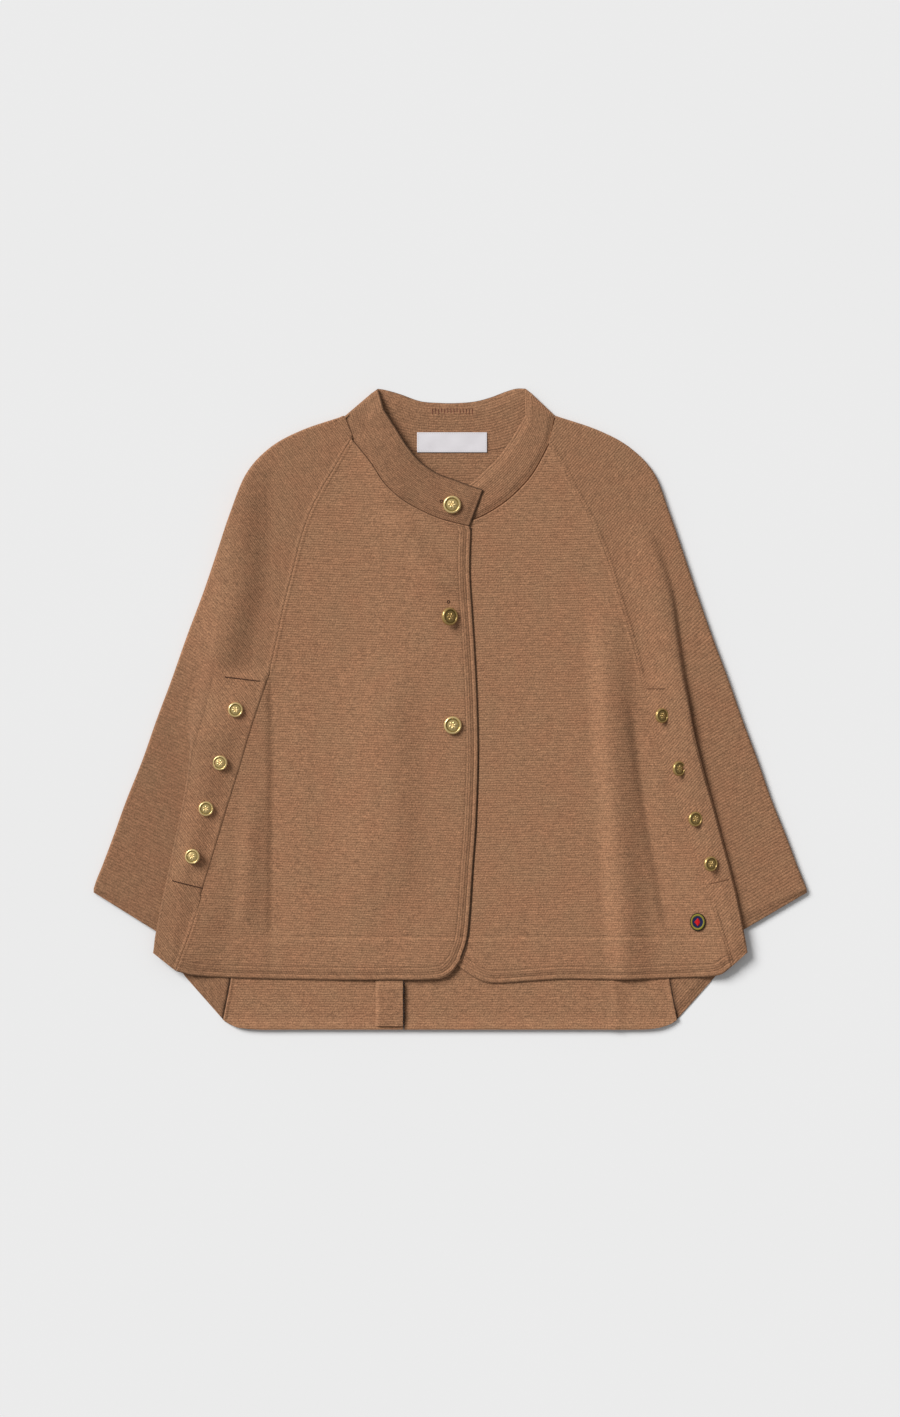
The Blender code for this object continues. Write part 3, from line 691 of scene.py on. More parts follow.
def side_ribs(side, rows):
    """The ribs run straight down the top of the side piece and kink at its outer fold."""
    x, y = rows[..., 0], rows[..., 1]
    top = SIDE_RIBS[side]
    u, v = rib_angle_uv(x, y, top)
    outer = SIDE_RIBS_OUTER[side]
    fine = line_up(side, "fold_x", "fold_y")
    fold_x = np.interp(y, fine[:, 1], fine[:, 0])
    lean = np.interp(y, fine[:, 1], np.gradient(fine[:, 0], fine[:, 1]))
    beyond = side * np.clip(side * (x - fold_x), 0, None)
    share = smooth((140.0 - y) / 120.0)
    flatter = np.radians(top + (outer - top) * share)
    c, s = math.cos(math.radians(top)), math.sin(math.radians(top))
    steep = np.tan(flatter)
    across = -steep * (c - s * lean) / (1 - steep * lean)
    bent_u = u + beyond * (np.cos(flatter) - c)
    bent_v = v + beyond * (across + s)
    return np.stack([bent_u, bent_v], axis=-1)


def patch(left, right, top, bottom, shares):
    """Plan points of a panel between four edges (a Coons patch), rows by columns."""
    v = np.linspace(0, 1, len(left))[:, None, None]
    u = np.asarray(shares)[None, :, None]
    sides = left[:, None] * (1 - u) + right[:, None] * u
    ends = top[None] * (1 - v) + bottom[None] * v
    corner_ends = [line[0] * (1 - u) + line[-1] * u for line in (top, bottom)]
    return sides + ends - corner_ends[0] * (1 - v) - corner_ends[1] * v


def neck_line(points, shares):
    """A collar's neck edge, its top edge and the way up from one to the other."""
    at = (len(points["neck_x"]) - 1) * np.asarray(shares)
    neck = curve(points, "neck_x", "neck_y", at)
    top = curve(points, "top_x", "top_y", at)
    return neck, top, unit(top - neck)


def from_line(points, line):
    """Each point's distance from a line of points, and how far along it that is."""
    steps = np.diff(line, axis=0)
    lengths = np.linalg.norm(steps, axis=1)
    starts, steps, lengths = (part[lengths > 0.01] for part in (line[:-1], steps, lengths))
    run = np.concatenate([[0], np.cumsum(lengths)])
    best = np.full(points.shape[:-1], np.inf)
    along = np.zeros(points.shape[:-1])
    for start, step, length, gone in zip(starts, steps, lengths, run):
        share = np.clip(((points - start) @ step) / length**2, 0, 1)
        away = np.linalg.norm(points - start - share[..., None] * step, axis=-1)
        along = np.where(away < best, gone + share * length, along)
        best = np.minimum(best, away)
    return best, along


def front_cloth(side):
    """A front's wall middle and its knit's map, from the neck to the hem."""
    at = section_rows()
    shares = spaced(FRONT_WIDTH, 2.6, (0, 5), (FRONT_WIDTH - 16, FRONT_WIDTH))
    seam = curve(SIDES[side], "seam_x", "seam_y", at)
    outer = curve(SIDES[side], "outer_x", "outer_y", at)
    inward = unit(seam - outer)
    centre = along_line(CENTRES[side], at / SECTIONS)
    hem = along_line(HEMS[side], shares)
    neck, _, up = neck_line(COLLARS[side], shares)
    neck = neck - up * (SEAM / 2)
    if side < 0:
        centre[:, 0] -= 1.3 * smooth(at / 3)
    centre[0] = neck[-1]
    gap = SEAM_GAPS[side] / 2
    edge = seam + inward * gap
    edge[0] = neck[0] + inward[0] * gap
    edge[-1] = hem[0] + inward[-1] * gap
    neck[0] = edge[0]
    hem[0] = edge[-1]
    hem[-1] = centre[-1]
    plan = patch(edge, centre, neck, hem, shares)
    plan[:, 0] -= inward * underlap(side, edge[:, 1])[:, None]
    x, y = plan[..., 0], plan[..., 1]
    from_edge, along = from_line(plan, np.concatenate([centre[::4], hem[::-3]]))
    height = front_height(side, x, y) + edge_roll(from_edge, 2.6, 0.5)
    valley = np.where(from_edge > 5, dent(from_edge - 5, 6.5), dent(from_edge - 5, 2.6))
    height = height - 0.25 * dent(from_edge - BAND, 2.2) - 0.5 * valley
    height = height + 0.55 * (1 - smooth((y - HEM_LINE + 1) / 2.0)) - 0.4 * dent(y - HEM_LINE - 2, 2.4)
    height = height - PRESS * (1 - smooth(from_edge / 4))
    to_neck, _ = from_line(plan, neck)
    height = height - 0.3 * dent(to_neck - 5.0, 1.8)
    to_seam = side * (seam_x(side, y) - x)
    height = height + seam_welt(side, to_seam, y)
    # Painted shade left of the left front's crease, near the slit, growing downward from y 60 mm.
    tone = 1 - 0.05 * smooth((-176 - x) / 5) * smooth((60 - y) / 80)
    if side < 0:
        to_centre, _ = from_line(plan, centre[::4])
        tone = tone * (1 - EDGE_SHADE * (1 - smooth(to_centre / EDGE_SHADE_WIDTH)))
    else:
        tone = tone - CREASE_SHADE * np.clip(creases(x + 2, y) - creases(x - 2, y), 0, 1)
    made = {
        "grid": layer(plan, height),
        "ribs": np.stack(rib_angle_uv(x, y, FRONT_RIBS[side]), axis=-1),
        "keep": thinner(from_edge),
        "tone": tone,
        "edge": np.stack([along, np.where(to_neck < 2.0, to_neck + 0.4, from_edge)], axis=-1),
    }
    return made if side < 0 else {name: part[:, ::-1] for name, part in made.items()}


def collar_cloth():
    """The collar's wall middle and its knit's map: left front, fold, back, fold, right front."""
    shares = spaced(COLLAR_HEIGHT, 1.6, (0, 4), (COLLAR_HEIGHT - 11, COLLAR_HEIGHT))
    columns = spaced(COLLAR_LENGTH, 2.4, (0, 4), (COLLAR_LENGTH - 4, COLLAR_LENGTH))
    above = COLLAR_HEIGHT * shares[None, :]
    below_top = COLLAR_HEIGHT - above
    back_neck, back_top, back_up = neck_line(BACK_COLLAR, np.linspace(0, 1, 90))
    back_neck = back_neck + back_up * (SEAM / 2)
    halves, inside, finished = {}, {}, {}
    for side, points in COLLARS.items():
        end = 0 if side < 0 else -1
        rise = back_top[end] - back_neck[end]
        outward = unit(np.array([side * rise[1], -side * rise[0]]))
        fold_neck = back_neck[end] - outward * FOLD_REACH
        fold_top = back_top[end] - outward * FOLD_REACH
        half = []
        for angle in np.radians(np.linspace(-90, 90, FOLD_COLUMNS + 1)[1:-1]):
            shift = outward * FOLD_RADIUS * math.cos(angle)
            plan = between((fold_neck + shift)[None], (fold_top + shift)[None], shares)
            half.append(layer(plan, FLOOR_LAYER + FOLD_RADIUS * (1 + math.sin(angle))))
        neck, top, up = neck_line(points, columns)
        neck = neck + up * (SEAM / 2)
        to_front = np.linspace(0, 1, 7)[:-1]
        neck = np.concatenate([between(fold_neck[None], neck[:1], to_front)[0], neck])
        top = np.concatenate([between(fold_top[None], top[:1], to_front)[0], top])
        plan = between(neck, top, shares)
        last = np.linalg.norm(plan - plan[-1:], axis=-1)
        line_depth = 0.5 if side < 0 else 0.3
        shape = edge_roll(below_top, 2.4, 0.4) - line_depth * dent(below_top - COLLAR_LINE, 2.4)
        shape = shape + edge_roll(last, 2.4, 0.4) + 0.3 * dent(above - 1.5, 2.5)
        place = np.concatenate([-1 + to_front, columns])[:, None]
        if side < 0:
            open_top = smooth(1 + place) * (1 - smooth((place - 0.1) / 0.6))
            shape = shape + COLLAR_LIFT * open_top * smooth((above - 16.0) / 30.0)
        half.append(layer(plan, front_height(side, plan[..., 0], plan[..., 1]) + shape))
        halves[side] = np.concatenate(half)
        inside[side] = np.broadcast_to(below_top, halves[side].shape[:2]).copy()
        finished[side] = inside[side].copy()
        finished[side][-len(plan) :] = np.minimum(last, below_top)
        inside[side][-len(plan) :] = np.minimum(finished[side][-len(plan) :], above + 0.5)
        back_neck[end], back_top[end] = fold_neck, fold_top
    plan = between(back_neck, back_top, shares)
    back = layer(plan, FLOOR_LAYER - 0.2 * dent(below_top - COLLAR_LINE, 2.2))
    grid = np.concatenate([halves[-1][::-1], back, halves[1]])
    steps = np.linalg.norm(np.diff(grid[:, len(shares) // 2], axis=0), axis=1)
    run = np.concatenate([[0], np.cumsum(steps)])[:, None]
    behind = np.broadcast_to(below_top, plan.shape[:2])
    inside = np.concatenate([inside[-1][::-1], behind, inside[1]])
    run, above = np.broadcast_arrays(run, above)
    # Painted shade: each part of the collar darker, the left most.
    parts = zip(COLLAR_PAINTED_SHADES, (halves[-1], back, halves[1]))
    tone = np.concatenate([np.full(part.shape[:2], value) for value, part in parts])
    tone[: len(halves[-1])] *= 1 - EDGE_SHADE * (1 - smooth(finished[-1][::-1] / EDGE_SHADE_WIDTH))
    made = {
        "grid": grid,
        "ribs": np.stack([run, above], axis=-1),
        "keep": thinner(inside),
        "tone": tone,
        "edge": np.stack([run, np.where(inside < EDGE_MAP, inside, FAR)], axis=-1),
    }
    return {name: np.swapaxes(part, 0, 1) for name, part in made.items()}


def back_cloth():
    """The back's wall middle and its knit's map, neck to hem, with its seams at both sides."""
    at = section_rows()
    vent = VENT_RIGHT + BACK_WIDTH / 2
    zones = [(0, 5), (vent - 4, vent + VENT_SHADE + 6), (BACK_WIDTH - 5, BACK_WIDTH)]
    shares = spaced(BACK_WIDTH, 4.4, *zones)
    edges = {}
    for side in (-1, 1):
        seam = curve(SIDES[side], "back_x", "back_y", at)
        outer = curve(SIDES[side], "outer_x", "outer_y", at)
        edges[side] = seam + unit(seam - outer) * (SEAM / 2)
    neck_at = 1 + (len(BACK_COLLAR["neck_x"]) - 3) * shares
    neck = curve(BACK_COLLAR, "neck_x", "neck_y", neck_at)
    top = curve(BACK_COLLAR, "top_x", "top_y", neck_at)
    neck = neck - unit(top - neck) * (SEAM / 10)
    edges[-1][0], edges[1][0] = neck[0] + (SEAM, 0), neck[-1] - (SEAM, 0)
    neck[0], neck[-1] = edges[-1][0], edges[1][0]
    hem = along_line(BACK_HEM, shares)
    hem[0], hem[-1] = edges[-1][-1], edges[1][-1]
    plan = patch(edges[-1], edges[1], neck, hem, shares)
    x, y = plan[..., 0], plan[..., 1]
    below_front = smooth((FRONT_HEM + 4 - y) / 6)
    from_side = np.broadcast_to(np.minimum(shares, 1 - shares)[None, :] * BACK_WIDTH, x.shape)
    ragged = 0.6 + 0.4 * np.sin(y * 1.9) * np.sin(y * 0.7)
    height = FLOOR_LAYER + 1.3 * below_front * ragged * (1 - smooth((from_side - 1.5) / 3.5))
    height = height + 1.1 * below_front * dent(x - 166.0, 9.0)
    height = height + 1.8 * smooth((-309 - y) / 12.0)
    # Painted shade: the back darker towards its neck, like the back collar.
    tone = 1 - (1 - COLLAR_PAINTED_SHADES[1]) * smooth((y - 100) / 100)
    # Painted shadow of the raised vent band: a strip right of its edge, below the fronts' hem.
    vent_band_shadow = smooth((x - VENT_RIGHT + 0.5) / 0.8) * smooth((VENT_RIGHT + VENT_SHADE - x) / 1.6)
    tone = tone * (1 - 0.3 * vent_band_shadow * (y < FRONT_HEM + 6))
    edge_map = no_edge(plan)
    edge_map[..., 1] = np.where((from_side < EDGE_MAP) & (y < 0), from_side, FAR)
    keep = np.ones(x.shape)
    return {"grid": layer(plan, height), "ribs": plan, "keep": keep, "tone": tone, "edge": edge_map}


def band_cloth():
    """The vent's facing band on the inside of the back."""
    xs = VENT_LEFT + (VENT_RIGHT - 0.5 - VENT_LEFT) * spaced(28.0, 2.0, (0, 6), (25, 28))
    ys = VENT_TOP + (VENT_BOTTOM - VENT_TOP) * spaced(158.0, 2.4, (0, 3), (155, 158))
    x, y = np.meshgrid(xs, ys)
    plan = np.stack([x, y], axis=-1)
    lifted = VENT_LIFT * smooth((FRONT_HEM - 1 - y) / 6) * smooth((x - VENT_LEFT) / 3.5)
    even = np.ones(x.shape)
    grid = layer(plan, CLOTH + GAP + VENT_BAND / 2 + lifted)
    return {"grid": grid, "ribs": plan, "keep": even, "tone": even * BAND_TONE, "edge": no_edge(plan)}


def select_only(thing):
    bpy.ops.object.select_all(action="DESELECT")
    thing.select_set(True)
    bpy.context.view_layer.objects.active = thing


def apply_all(thing):
    """Applies the piece's modifiers and puts its place into its mesh."""
    select_only(thing)
    for modifier in list(thing.modifiers):
        bpy.ops.object.modifier_apply(modifier=modifier.name)
    bpy.ops.object.transform_apply(location=True, rotation=True, scale=True)
    return thing


def new_object(name, data):
    thing = bpy.data.objects.new(name, data)
    bpy.context.scene.collection.objects.link(thing)
    return thing


def new_mesh(name, points, faces):
    """An object with a smooth mesh from points in millimetres."""
    mesh = bpy.data.meshes.new(name)
    mesh.from_pydata((points.reshape(-1, 3) * MM).tolist(), [], faces)
    mesh.shade_smooth()
    return new_object(name, mesh)


def bevel(thing, width, segments, degrees):
    soft = thing.modifiers.new("Rounded edge", "BEVEL")
    soft.width = width
    soft.segments = segments
    soft.limit_method = "ANGLE"
    soft.angle_limit = math.radians(degrees)


def finish_piece(thing, surface, slot, *nodes):
    """Gives the piece its material, its body and the solids that it stands for, which it hides. The slot is
    not used.
    """
    thing.data.materials.clear()
    thing.data.materials.append(surface)
    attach(thing, "root")
    if nodes:
        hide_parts(*nodes)
    return thing


def cloth(name, piece, surface, slot, node, thickness=CLOTH):
    """A wall about a grid of points, thinner at finished edges, with the knit's map."""
    grid, keep = piece["grid"], piece["keep"]
    rows, columns = grid.shape[:2]
    grid = grid - np.array([0, 0, 0.5])[None, None, :] * ((1 - keep) * thickness)[..., None]
    corner = np.arange(rows * columns).reshape(rows, columns)
    faces = np.stack([corner[:-1, :-1], corner[1:, :-1], corner[1:, 1:], corner[:-1, 1:]], axis=-1)
    faces = faces.reshape(-1, 4)
    thing = new_mesh(name, grid, faces.tolist())
    for layer_name, part in (("Knit", "ribs"), ("Edge", "edge")):
        found = thing.data.uv_layers.new(name=layer_name)
        found.data.foreach_set("uv", (piece[part].reshape(-1, 2)[faces.ravel()] * MM).ravel())
    tone = thing.data.attributes.new("Tone", "FLOAT", "POINT")
    tone.data.foreach_set("value", piece["tone"].ravel())
    thick = thing.vertex_groups.new(name="Thick")
    for share in np.unique(np.round(keep, 2)):
        chosen = np.flatnonzero(np.round(keep.ravel(), 2) == share)
        thick.add(chosen.tolist(), float(share), "REPLACE")
    wall = thing.modifiers.new("Wall", "SOLIDIFY")
    wall.thickness = thickness * MM
    wall.offset = 0.0
    wall.vertex_group = "Thick"
    bevel(thing, EDGE_ROUND * thickness / CLOTH * MM, 3, 60)
    return finish_piece(thing, surface, slot, node)


def put(tree, node, **inputs):
    """Joins or sets a node's sockets, by name with _ for spaces, or by number after a _."""
    for name, value in inputs.items():
        socket = node.inputs[int(name[1:]) if name[0] == "_" else name.replace("_", " ")]
        if isinstance(value, bpy.types.NodeSocket):
            tree.links.new(value, socket)
        else:
            socket.default_value = value
    return node


def add_node(tree, kind, settings=None, **inputs):
    """A shader node with its settings and its sockets."""
    made = tree.nodes.new(kind)
    for name, value in (settings or {}).items():
        setattr(made, name, value)
    return put(tree, made, **inputs)


def maths(tree, operation, first, second=0.0, third=0.0):
    made = add_node(tree, "ShaderNodeMath", {"operation": operation}, _0=first, _1=second, _2=third)
    return made.outputs[0]


def noise(tree, place, scale, detail):
    return add_node(tree, "ShaderNodeTexNoise", Vector=place, Scale=scale, Detail=detail).outputs["Fac"]


def uv_parts(tree, name):
    """The two numbers of a UV map."""
    found = add_node(tree, "ShaderNodeUVMap", {"uv_map": name}).outputs[0]
    return add_node(tree, "ShaderNodeSeparateXYZ", Vector=found).outputs


def bumps(tree, strength, distance, height):
    return add_node(tree, "ShaderNodeBump", Strength=strength, Distance=distance, Height=height).outputs[0]


def new_surface(name):
    """A material, its node tree, its shader and the place on the piece."""
    found = bpy.data.materials.new(name)
    found.use_nodes = True
    tree = found.node_tree
    place = add_node(tree, "ShaderNodeTexCoord").outputs["Object"]
    return found, tree, tree.nodes["Principled BSDF"], place


def ramp(tree, value, width, near, far):
    """A smooth change from near, at 0, to far, at width millimetres."""
    steps = {"From_Max": width * MM, "To_Min": near, "To_Max": far}
    settings = {"interpolation_type": "SMOOTHSTEP"}
    return add_node(tree, "ShaderNodeMapRange", settings, Value=value, **steps).outputs["Result"]


def mix_colour(tree, share, first, second):
    made = add_node(tree, "ShaderNodeMix", {"data_type": "RGBA"}, _0=share, _6=first, _7=second)
    return made.outputs[2]


def scaled(colour, *factors):
    """A colour with its parts multiplied by one factor, or by three."""
    factors = factors * 3 if len(factors) == 1 else factors
    return tuple(part * factor for part, factor in zip(colour, factors)) + (1.0,)


def knit_surface(name, ridge, groove_shade, pitch):
    """Milano knit: rounded ribs of slanted stitches, in a slightly mixed yarn, with painted shade in the
    grooves and along finished edges, and the Tone attribute's painted shade and light.
    """
    found, tree, shader, place = new_surface(name)
    calc = partial(maths, tree)
    ribs, border = uv_parts(tree, "Knit"), uv_parts(tree, "Edge")
    from_edge = border["Y"]
    in_band = calc("LESS_THAN", from_edge, BAND * MM)
    knit_x, knit_y = (
        calc("MULTIPLY_ADD", calc("SUBTRACT", border[k], ribs[k]), in_band, ribs[k]) for k in range(2)
    )
    to_line = calc("ABSOLUTE", calc("SUBTRACT", from_edge, BAND * MM))
    band_line = ramp(tree, to_line, 1.4, 1.0, 0.0)
    # Painted shade: the cloth darkens within 0.9 mm of a finished edge.
    rim = ramp(tree, from_edge, 0.9, 0.55, 1.0)
    inside = ramp(tree, from_edge, 2.0, 0.0, 1.0)

    shift = calc("MULTIPLY", calc("SUBTRACT", noise(tree, place, 140.0, 1.0), 0.5), 0.0011)
    rows = calc("DIVIDE", calc("ADD", knit_y, shift), pitch * MM)
    ridge_wave = calc("ABSOLUTE", calc("SINE", calc("MULTIPLY", rows, math.pi)))
    rib = calc("POWER", ridge_wave, 0.6)
    slant = calc("MULTIPLY", calc("FRACT", rows), 0.5)
    step = calc("MULTIPLY", calc("FLOOR", rows), 0.5)
    along = calc("DIVIDE", knit_x, STITCH * MM)
    turns = calc("ADD", along, calc("ADD", slant, step))
    stitch_wave = calc("SINE", calc("MULTIPLY", turns, math.pi))
    stitch = calc("POWER", calc("ABSOLUTE", stitch_wave), 0.7)
    raised = calc("MULTIPLY_ADD", stitch, 0.35, calc("MULTIPLY", rib, 0.65))
    raised = calc("MULTIPLY_ADD", noise(tree, place, 1800.0, 2.0), 0.25, raised)

    # Painted shade: the yarn takes the darker groove colour where the knit lies low.
    yarn = mix_colour(tree, calc("MULTIPLY_ADD", raised, 1.5, -0.5), scaled(groove_shade, 1.0), scaled(ridge, 1.0))
    patches = calc("MULTIPLY_ADD", noise(tree, place, 38.0, 2.0), 2.4, -0.7)
    hue = mix_colour(tree, patches, scaled(ridge, 1.02, 0.95, 0.9), scaled(ridge, 0.95, 1.02, 0.98))
    streak_place = add_node(tree, "ShaderNodeCombineXYZ", X=calc("MULTIPLY", along, 0.2), Y=rows)
    streaked = calc("MULTIPLY_ADD", noise(tree, streak_place.outputs[0], 0.9, 3.0), 0.72, 0.64)
    mottled = calc("MULTIPLY_ADD", noise(tree, place, 720.0, 2.0), 1.7, 0.15)
    rim_shade_and_band_line = calc("MULTIPLY", rim, calc("MULTIPLY_ADD", band_line, -0.12, 1.0))
    # The Tone attribute carries painted shade, and painted light on the left placket.
    tone = add_node(tree, "ShaderNodeAttribute", {"attribute_name": "Tone"}).outputs["Fac"]
    scale = calc("MULTIPLY", calc("MULTIPLY", calc("MULTIPLY", streaked, mottled), rim_shade_and_band_line), tone)
    mixed = mix_colour(tree, 0.45, yarn, hue)
    shaded = add_node(tree, "ShaderNodeVectorMath", {"operation": "SCALE"}, _0=mixed, Scale=scale)
    raised = calc("MULTIPLY_ADD", band_line, -0.4, calc("MULTIPLY", raised, inside))
    put(
        tree,
        shader,
        Base_Color=shaded.outputs[0],
        Normal=bumps(tree, 0.85, 0.0005, raised),
        Roughness=0.92,
        Specular_IOR_Level=0.15,
        Sheen_Weight=0.12,
        Sheen_Roughness=0.5,
        Sheen_Tint=(0.9, 0.7, 0.5, 1.0),
    )
    return found


def gold_surface(name, shade):
    """Pale gilt metal with random wear, darker and greener in its hollows as painted shade, and scaled by
    shade, which below 1 is painted shade as well.
    """
    found, tree, shader, place = new_surface(name)
    wear = noise(tree, place, 420.0, 3.0)
    # Painted shade: darker, greener gold where the surface is hollow.
    crevice = add_node(tree, "ShaderNodeNewGeometry").outputs["Pointiness"]
    share = maths(tree, "MULTIPLY_ADD", crevice, 10.0, -4.6)
    colour = mix_colour(tree, share, (0.2, 0.135, 0.025, 1.0), (1.0, 0.77, 0.38, 1.0))
    worn = mix_colour(tree, maths(tree, "MULTIPLY", wear, 0.2), colour, (0.55, 0.4, 0.13, 1.0))
    # Painted shade: the colour scaled by shade.
    dimmed = add_node(tree, "ShaderNodeVectorMath", {"operation": "MULTIPLY"}, _0=worn, _1=shade)
    rough = maths(tree, "MULTIPLY_ADD", wear, 0.2, 0.2)
    put(tree, shader, Base_Color=dimmed.outputs[0], Metallic=0.6, Roughness=rough)
    put(tree, shader, Normal=bumps(tree, 0.15, 0.0001, wear))
    return found


def satin_surface(name):
    """White woven satin: fine floats across, with a soft gloss and a sewn edge."""
    found, tree, shader, place = new_surface(name)
    calc = partial(maths, tree)
    split = add_node(tree, "ShaderNodeSeparateXYZ", Vector=place)
    threads = calc("SINE", calc("MULTIPLY", split.outputs["Y"], 2 * math.pi / 0.0006))
    picks = calc("SINE", calc("MULTIPLY", split.outputs["X"], 2 * math.pi / 0.0009))
    weave = calc("MULTIPLY_ADD", picks, 0.4, threads)
    dust = noise(tree, place, 90.0, 2.0)
    colour = mix_colour(tree, dust, (0.63, 0.6, 0.62, 1.0), (0.72, 0.695, 0.715, 1.0))
    border = uv_parts(tree, "Edge")
    to_line = calc("ABSOLUTE", calc("SUBTRACT", border["Y"], 1.3 * MM))
    dash = calc("SINE", calc("MULTIPLY", border["X"], 2 * math.pi / 0.0022))
    sewn = calc("MULTIPLY", ramp(tree, to_line, 0.4, 0.45, 0.0), calc("GREATER_THAN", dash, -0.3))
    colour = mix_colour(tree, sewn, colour, (0.3, 0.26, 0.25, 1.0))
    normal = bumps(tree, 0.25, 0.0001, weave)
    put(tree, shader, Base_Color=colour, Normal=normal, Roughness=0.45, Sheen_Weight=0.2)
    return found


def thread_surface(name, colour):
    """Lustrous embroidery thread."""
    found, tree, shader, place = new_surface(name)
    twist = noise(tree, place, 1500.0, 2.0)
    blend = mix_colour(tree, twist, scaled(colour, 0.6), scaled(colour, 1.3))
    normal = bumps(tree, 0.4, 0.0001, twist)
    put(tree, shader, Base_Color=blend, Normal=normal, Roughness=0.65, Specular_IOR_Level=0.2)
    return found


def floor_surface():
    found, tree, shader, place = new_surface("Pale floor")
    grain = noise(tree, place, 3.0, 1.0)
    colour = mix_colour(tree, grain, (0.78, 0.78, 0.78, 1.0), (0.79, 0.79, 0.79, 1.0))
    put(tree, shader, Base_Color=colour, Roughness=0.9, Specular_IOR_Level=0.1)
    return found


def select_faces(mesh, wanted):
    """Selects the faces for which wanted is true, in edit mode, and nothing else."""
    bpy.ops.mesh.select_all(action="DESELECT")
    bpy.ops.object.mode_set(mode="OBJECT")
    for face in mesh.polygons:
        face.select = wanted(face)
    bpy.ops.object.mode_set(mode="EDIT")


def button_form(name, size):
    """A domed metal button: a raised rim, a sunk ring and a raised rosette."""
    radius = size / 2 * MM
    rise = 0.2 * size * MM
    bpy.ops.mesh.primitive_cylinder_add(vertices=64, radius=radius, depth=0.62 * rise)
    form = bpy.context.active_object
    form.name = name
    form.data.transform(Matrix.Translation((0, 0, 0.31 * rise)))
    bpy.ops.object.mode_set(mode="EDIT")
    bpy.ops.mesh.select_mode(type="FACE")
    select_faces(form.data, lambda face: face.normal.z < -0.9)
    bpy.ops.mesh.inset(thickness=0.22 * radius)
    bpy.ops.transform.translate(value=(0, 0, -0.02 * rise))
    select_faces(form.data, lambda face: face.normal.z > 0.9)
    for inward, upward in BUTTON_STEPS:
        bpy.ops.mesh.inset(thickness=inward * radius)
        bpy.ops.transform.translate(value=(0, 0, upward * rise))
    bpy.ops.object.mode_set(mode="OBJECT")
    bevel(form, 0.035 * radius, 2, 28)
    apply_all(form)
    raised = []
    top = max(vertex.co.z for vertex in form.data.vertices if vertex.co.xy.length < 0.4 * radius)
    ball = partial(bpy.ops.mesh.primitive_uv_sphere_add, ring_count=8)
    for k in range(PETALS):
        angle = 2 * math.pi * k / PETALS
        place = (0.27 * radius * math.cos(angle), 0.27 * radius * math.sin(angle), top)
        ball(segments=12, radius=0.13 * radius, location=place)
        petal = bpy.context.active_object
        petal.scale = (1.45, 0.8, 0.75)
        petal.rotation_euler = (0, 0, angle)
        raised.append(apply_all(petal))
    ball(segments=14, radius=0.11 * radius, location=(0, 0, top))
    raised.append(apply_all(bpy.context.active_object))
    shank = {"radius": 0.2 * radius, "depth": 0.17 * size * MM, "location": (0, 0, -0.08 * size * MM)}
    bpy.ops.mesh.primitive_cylinder_add(vertices=16, **shank)
    raised.append(apply_all(bpy.context.active_object))
    select_only(form)
    for part in raised:
        part.select_set(True)
    bpy.ops.object.join()
    bpy.ops.object.shade_smooth_by_angle(angle=math.radians(35))
    return form


def place_button(form, node, tilt, turn, surface):
    """A copy of the button where its solid lies, tilted with the cloth."""
    low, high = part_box(node)
    mesh = form.data.copy()
    tall = max(vertex.co.z for vertex in mesh.vertices)
    for step in (
        Matrix.Translation((0, 0, -tall / 2)),
        Matrix.Rotation(math.radians(turn), 4, "Z"),
        Matrix.Rotation(math.radians(tilt), 4, "Y"),
        Matrix.Translation((low + high) / 2),
    ):
        mesh.transform(step)
    finish_piece(new_object(node.replace("button", "gold_button"), mesh), surface, "gold_metal", node)


def main_cloth():
    """All the cloth pieces, each made as a wall of its own cut."""
    made = {}
    pieces = {"back": back_cloth(), "back_vent_band": band_cloth(), "collar": collar_cloth()}
    for name, side in (("left", -1), ("right", 1)):
        pieces[f"front_{name}"] = front_cloth(side)
        pieces[f"side_{name}"] = side_cloth(side)
    for node, piece in pieces.items():
        thickness = VENT_BAND if node == "back_vent_band" else CLOTH
        made[node] = cloth(f"{node}_cloth", piece, camel, "camel_knit", node, thickness)
    return made


def cloth_tops(places, things):
    """The highest surface under each place, in millimetres."""
    graph = bpy.context.evaluated_depsgraph_get()
    trees = [BVHTree.FromObject(thing, graph) for thing in things]
    down = Vector((0, 0, -1))
    heights = []
    for x, y in places:
        hits = [tree.ray_cast(Vector((x * MM, y * MM, 0.1)), down)[0] for tree in trees]
        heights.append(max([hit.z / MM for hit in hits if hit], default=CLOTH))
    return np.array(heights)


def stitches(name, starts, ends, radius, surface, slot, things):
    """Short threads from each start to its end, half sunk in what lies under them."""
    starts, ends = np.asarray(starts, float), np.asarray(ends, float)
    shares = np.linspace(0, 1, THREAD_RINGS)
    round_x, round_y = circle(THREAD_SIDES).T
    along = unit(ends - starts)
    aside = np.stack([-along[:, 1], along[:, 0]], axis=-1)
    swell = radius * np.sin(np.pi * (0.12 + 0.76 * shares))[None, :, None]
    across = (swell * round_x)[..., None]
    plan = between(starts, ends, shares)[:, :, None, :] + aside[:, None, None, :] * across
    arch = 0.5 * radius * np.sin(np.pi * shares)[None, :, None]
    middle = cloth_tops((starts + ends) / 2, things)[:, None, None]
    points = layer(plan, middle + arch + swell * round_y)
    faces = []
    size = THREAD_RINGS * THREAD_SIDES
    for first in range(0, len(starts) * size, size):
        last = first + size - THREAD_SIDES
        for ring in range(first, last, THREAD_SIDES):
            for k in range(THREAD_SIDES):
                low, high = ring + k, ring + (k + 1) % THREAD_SIDES
                faces.append((low, high, high + THREAD_SIDES, low + THREAD_SIDES))
        faces.append(tuple(range(first, first + THREAD_SIDES))[::-1])
        faces.append(tuple(range(last, last + THREAD_SIDES)))
    return finish_piece(new_mesh(name, points, faces), surface, slot)


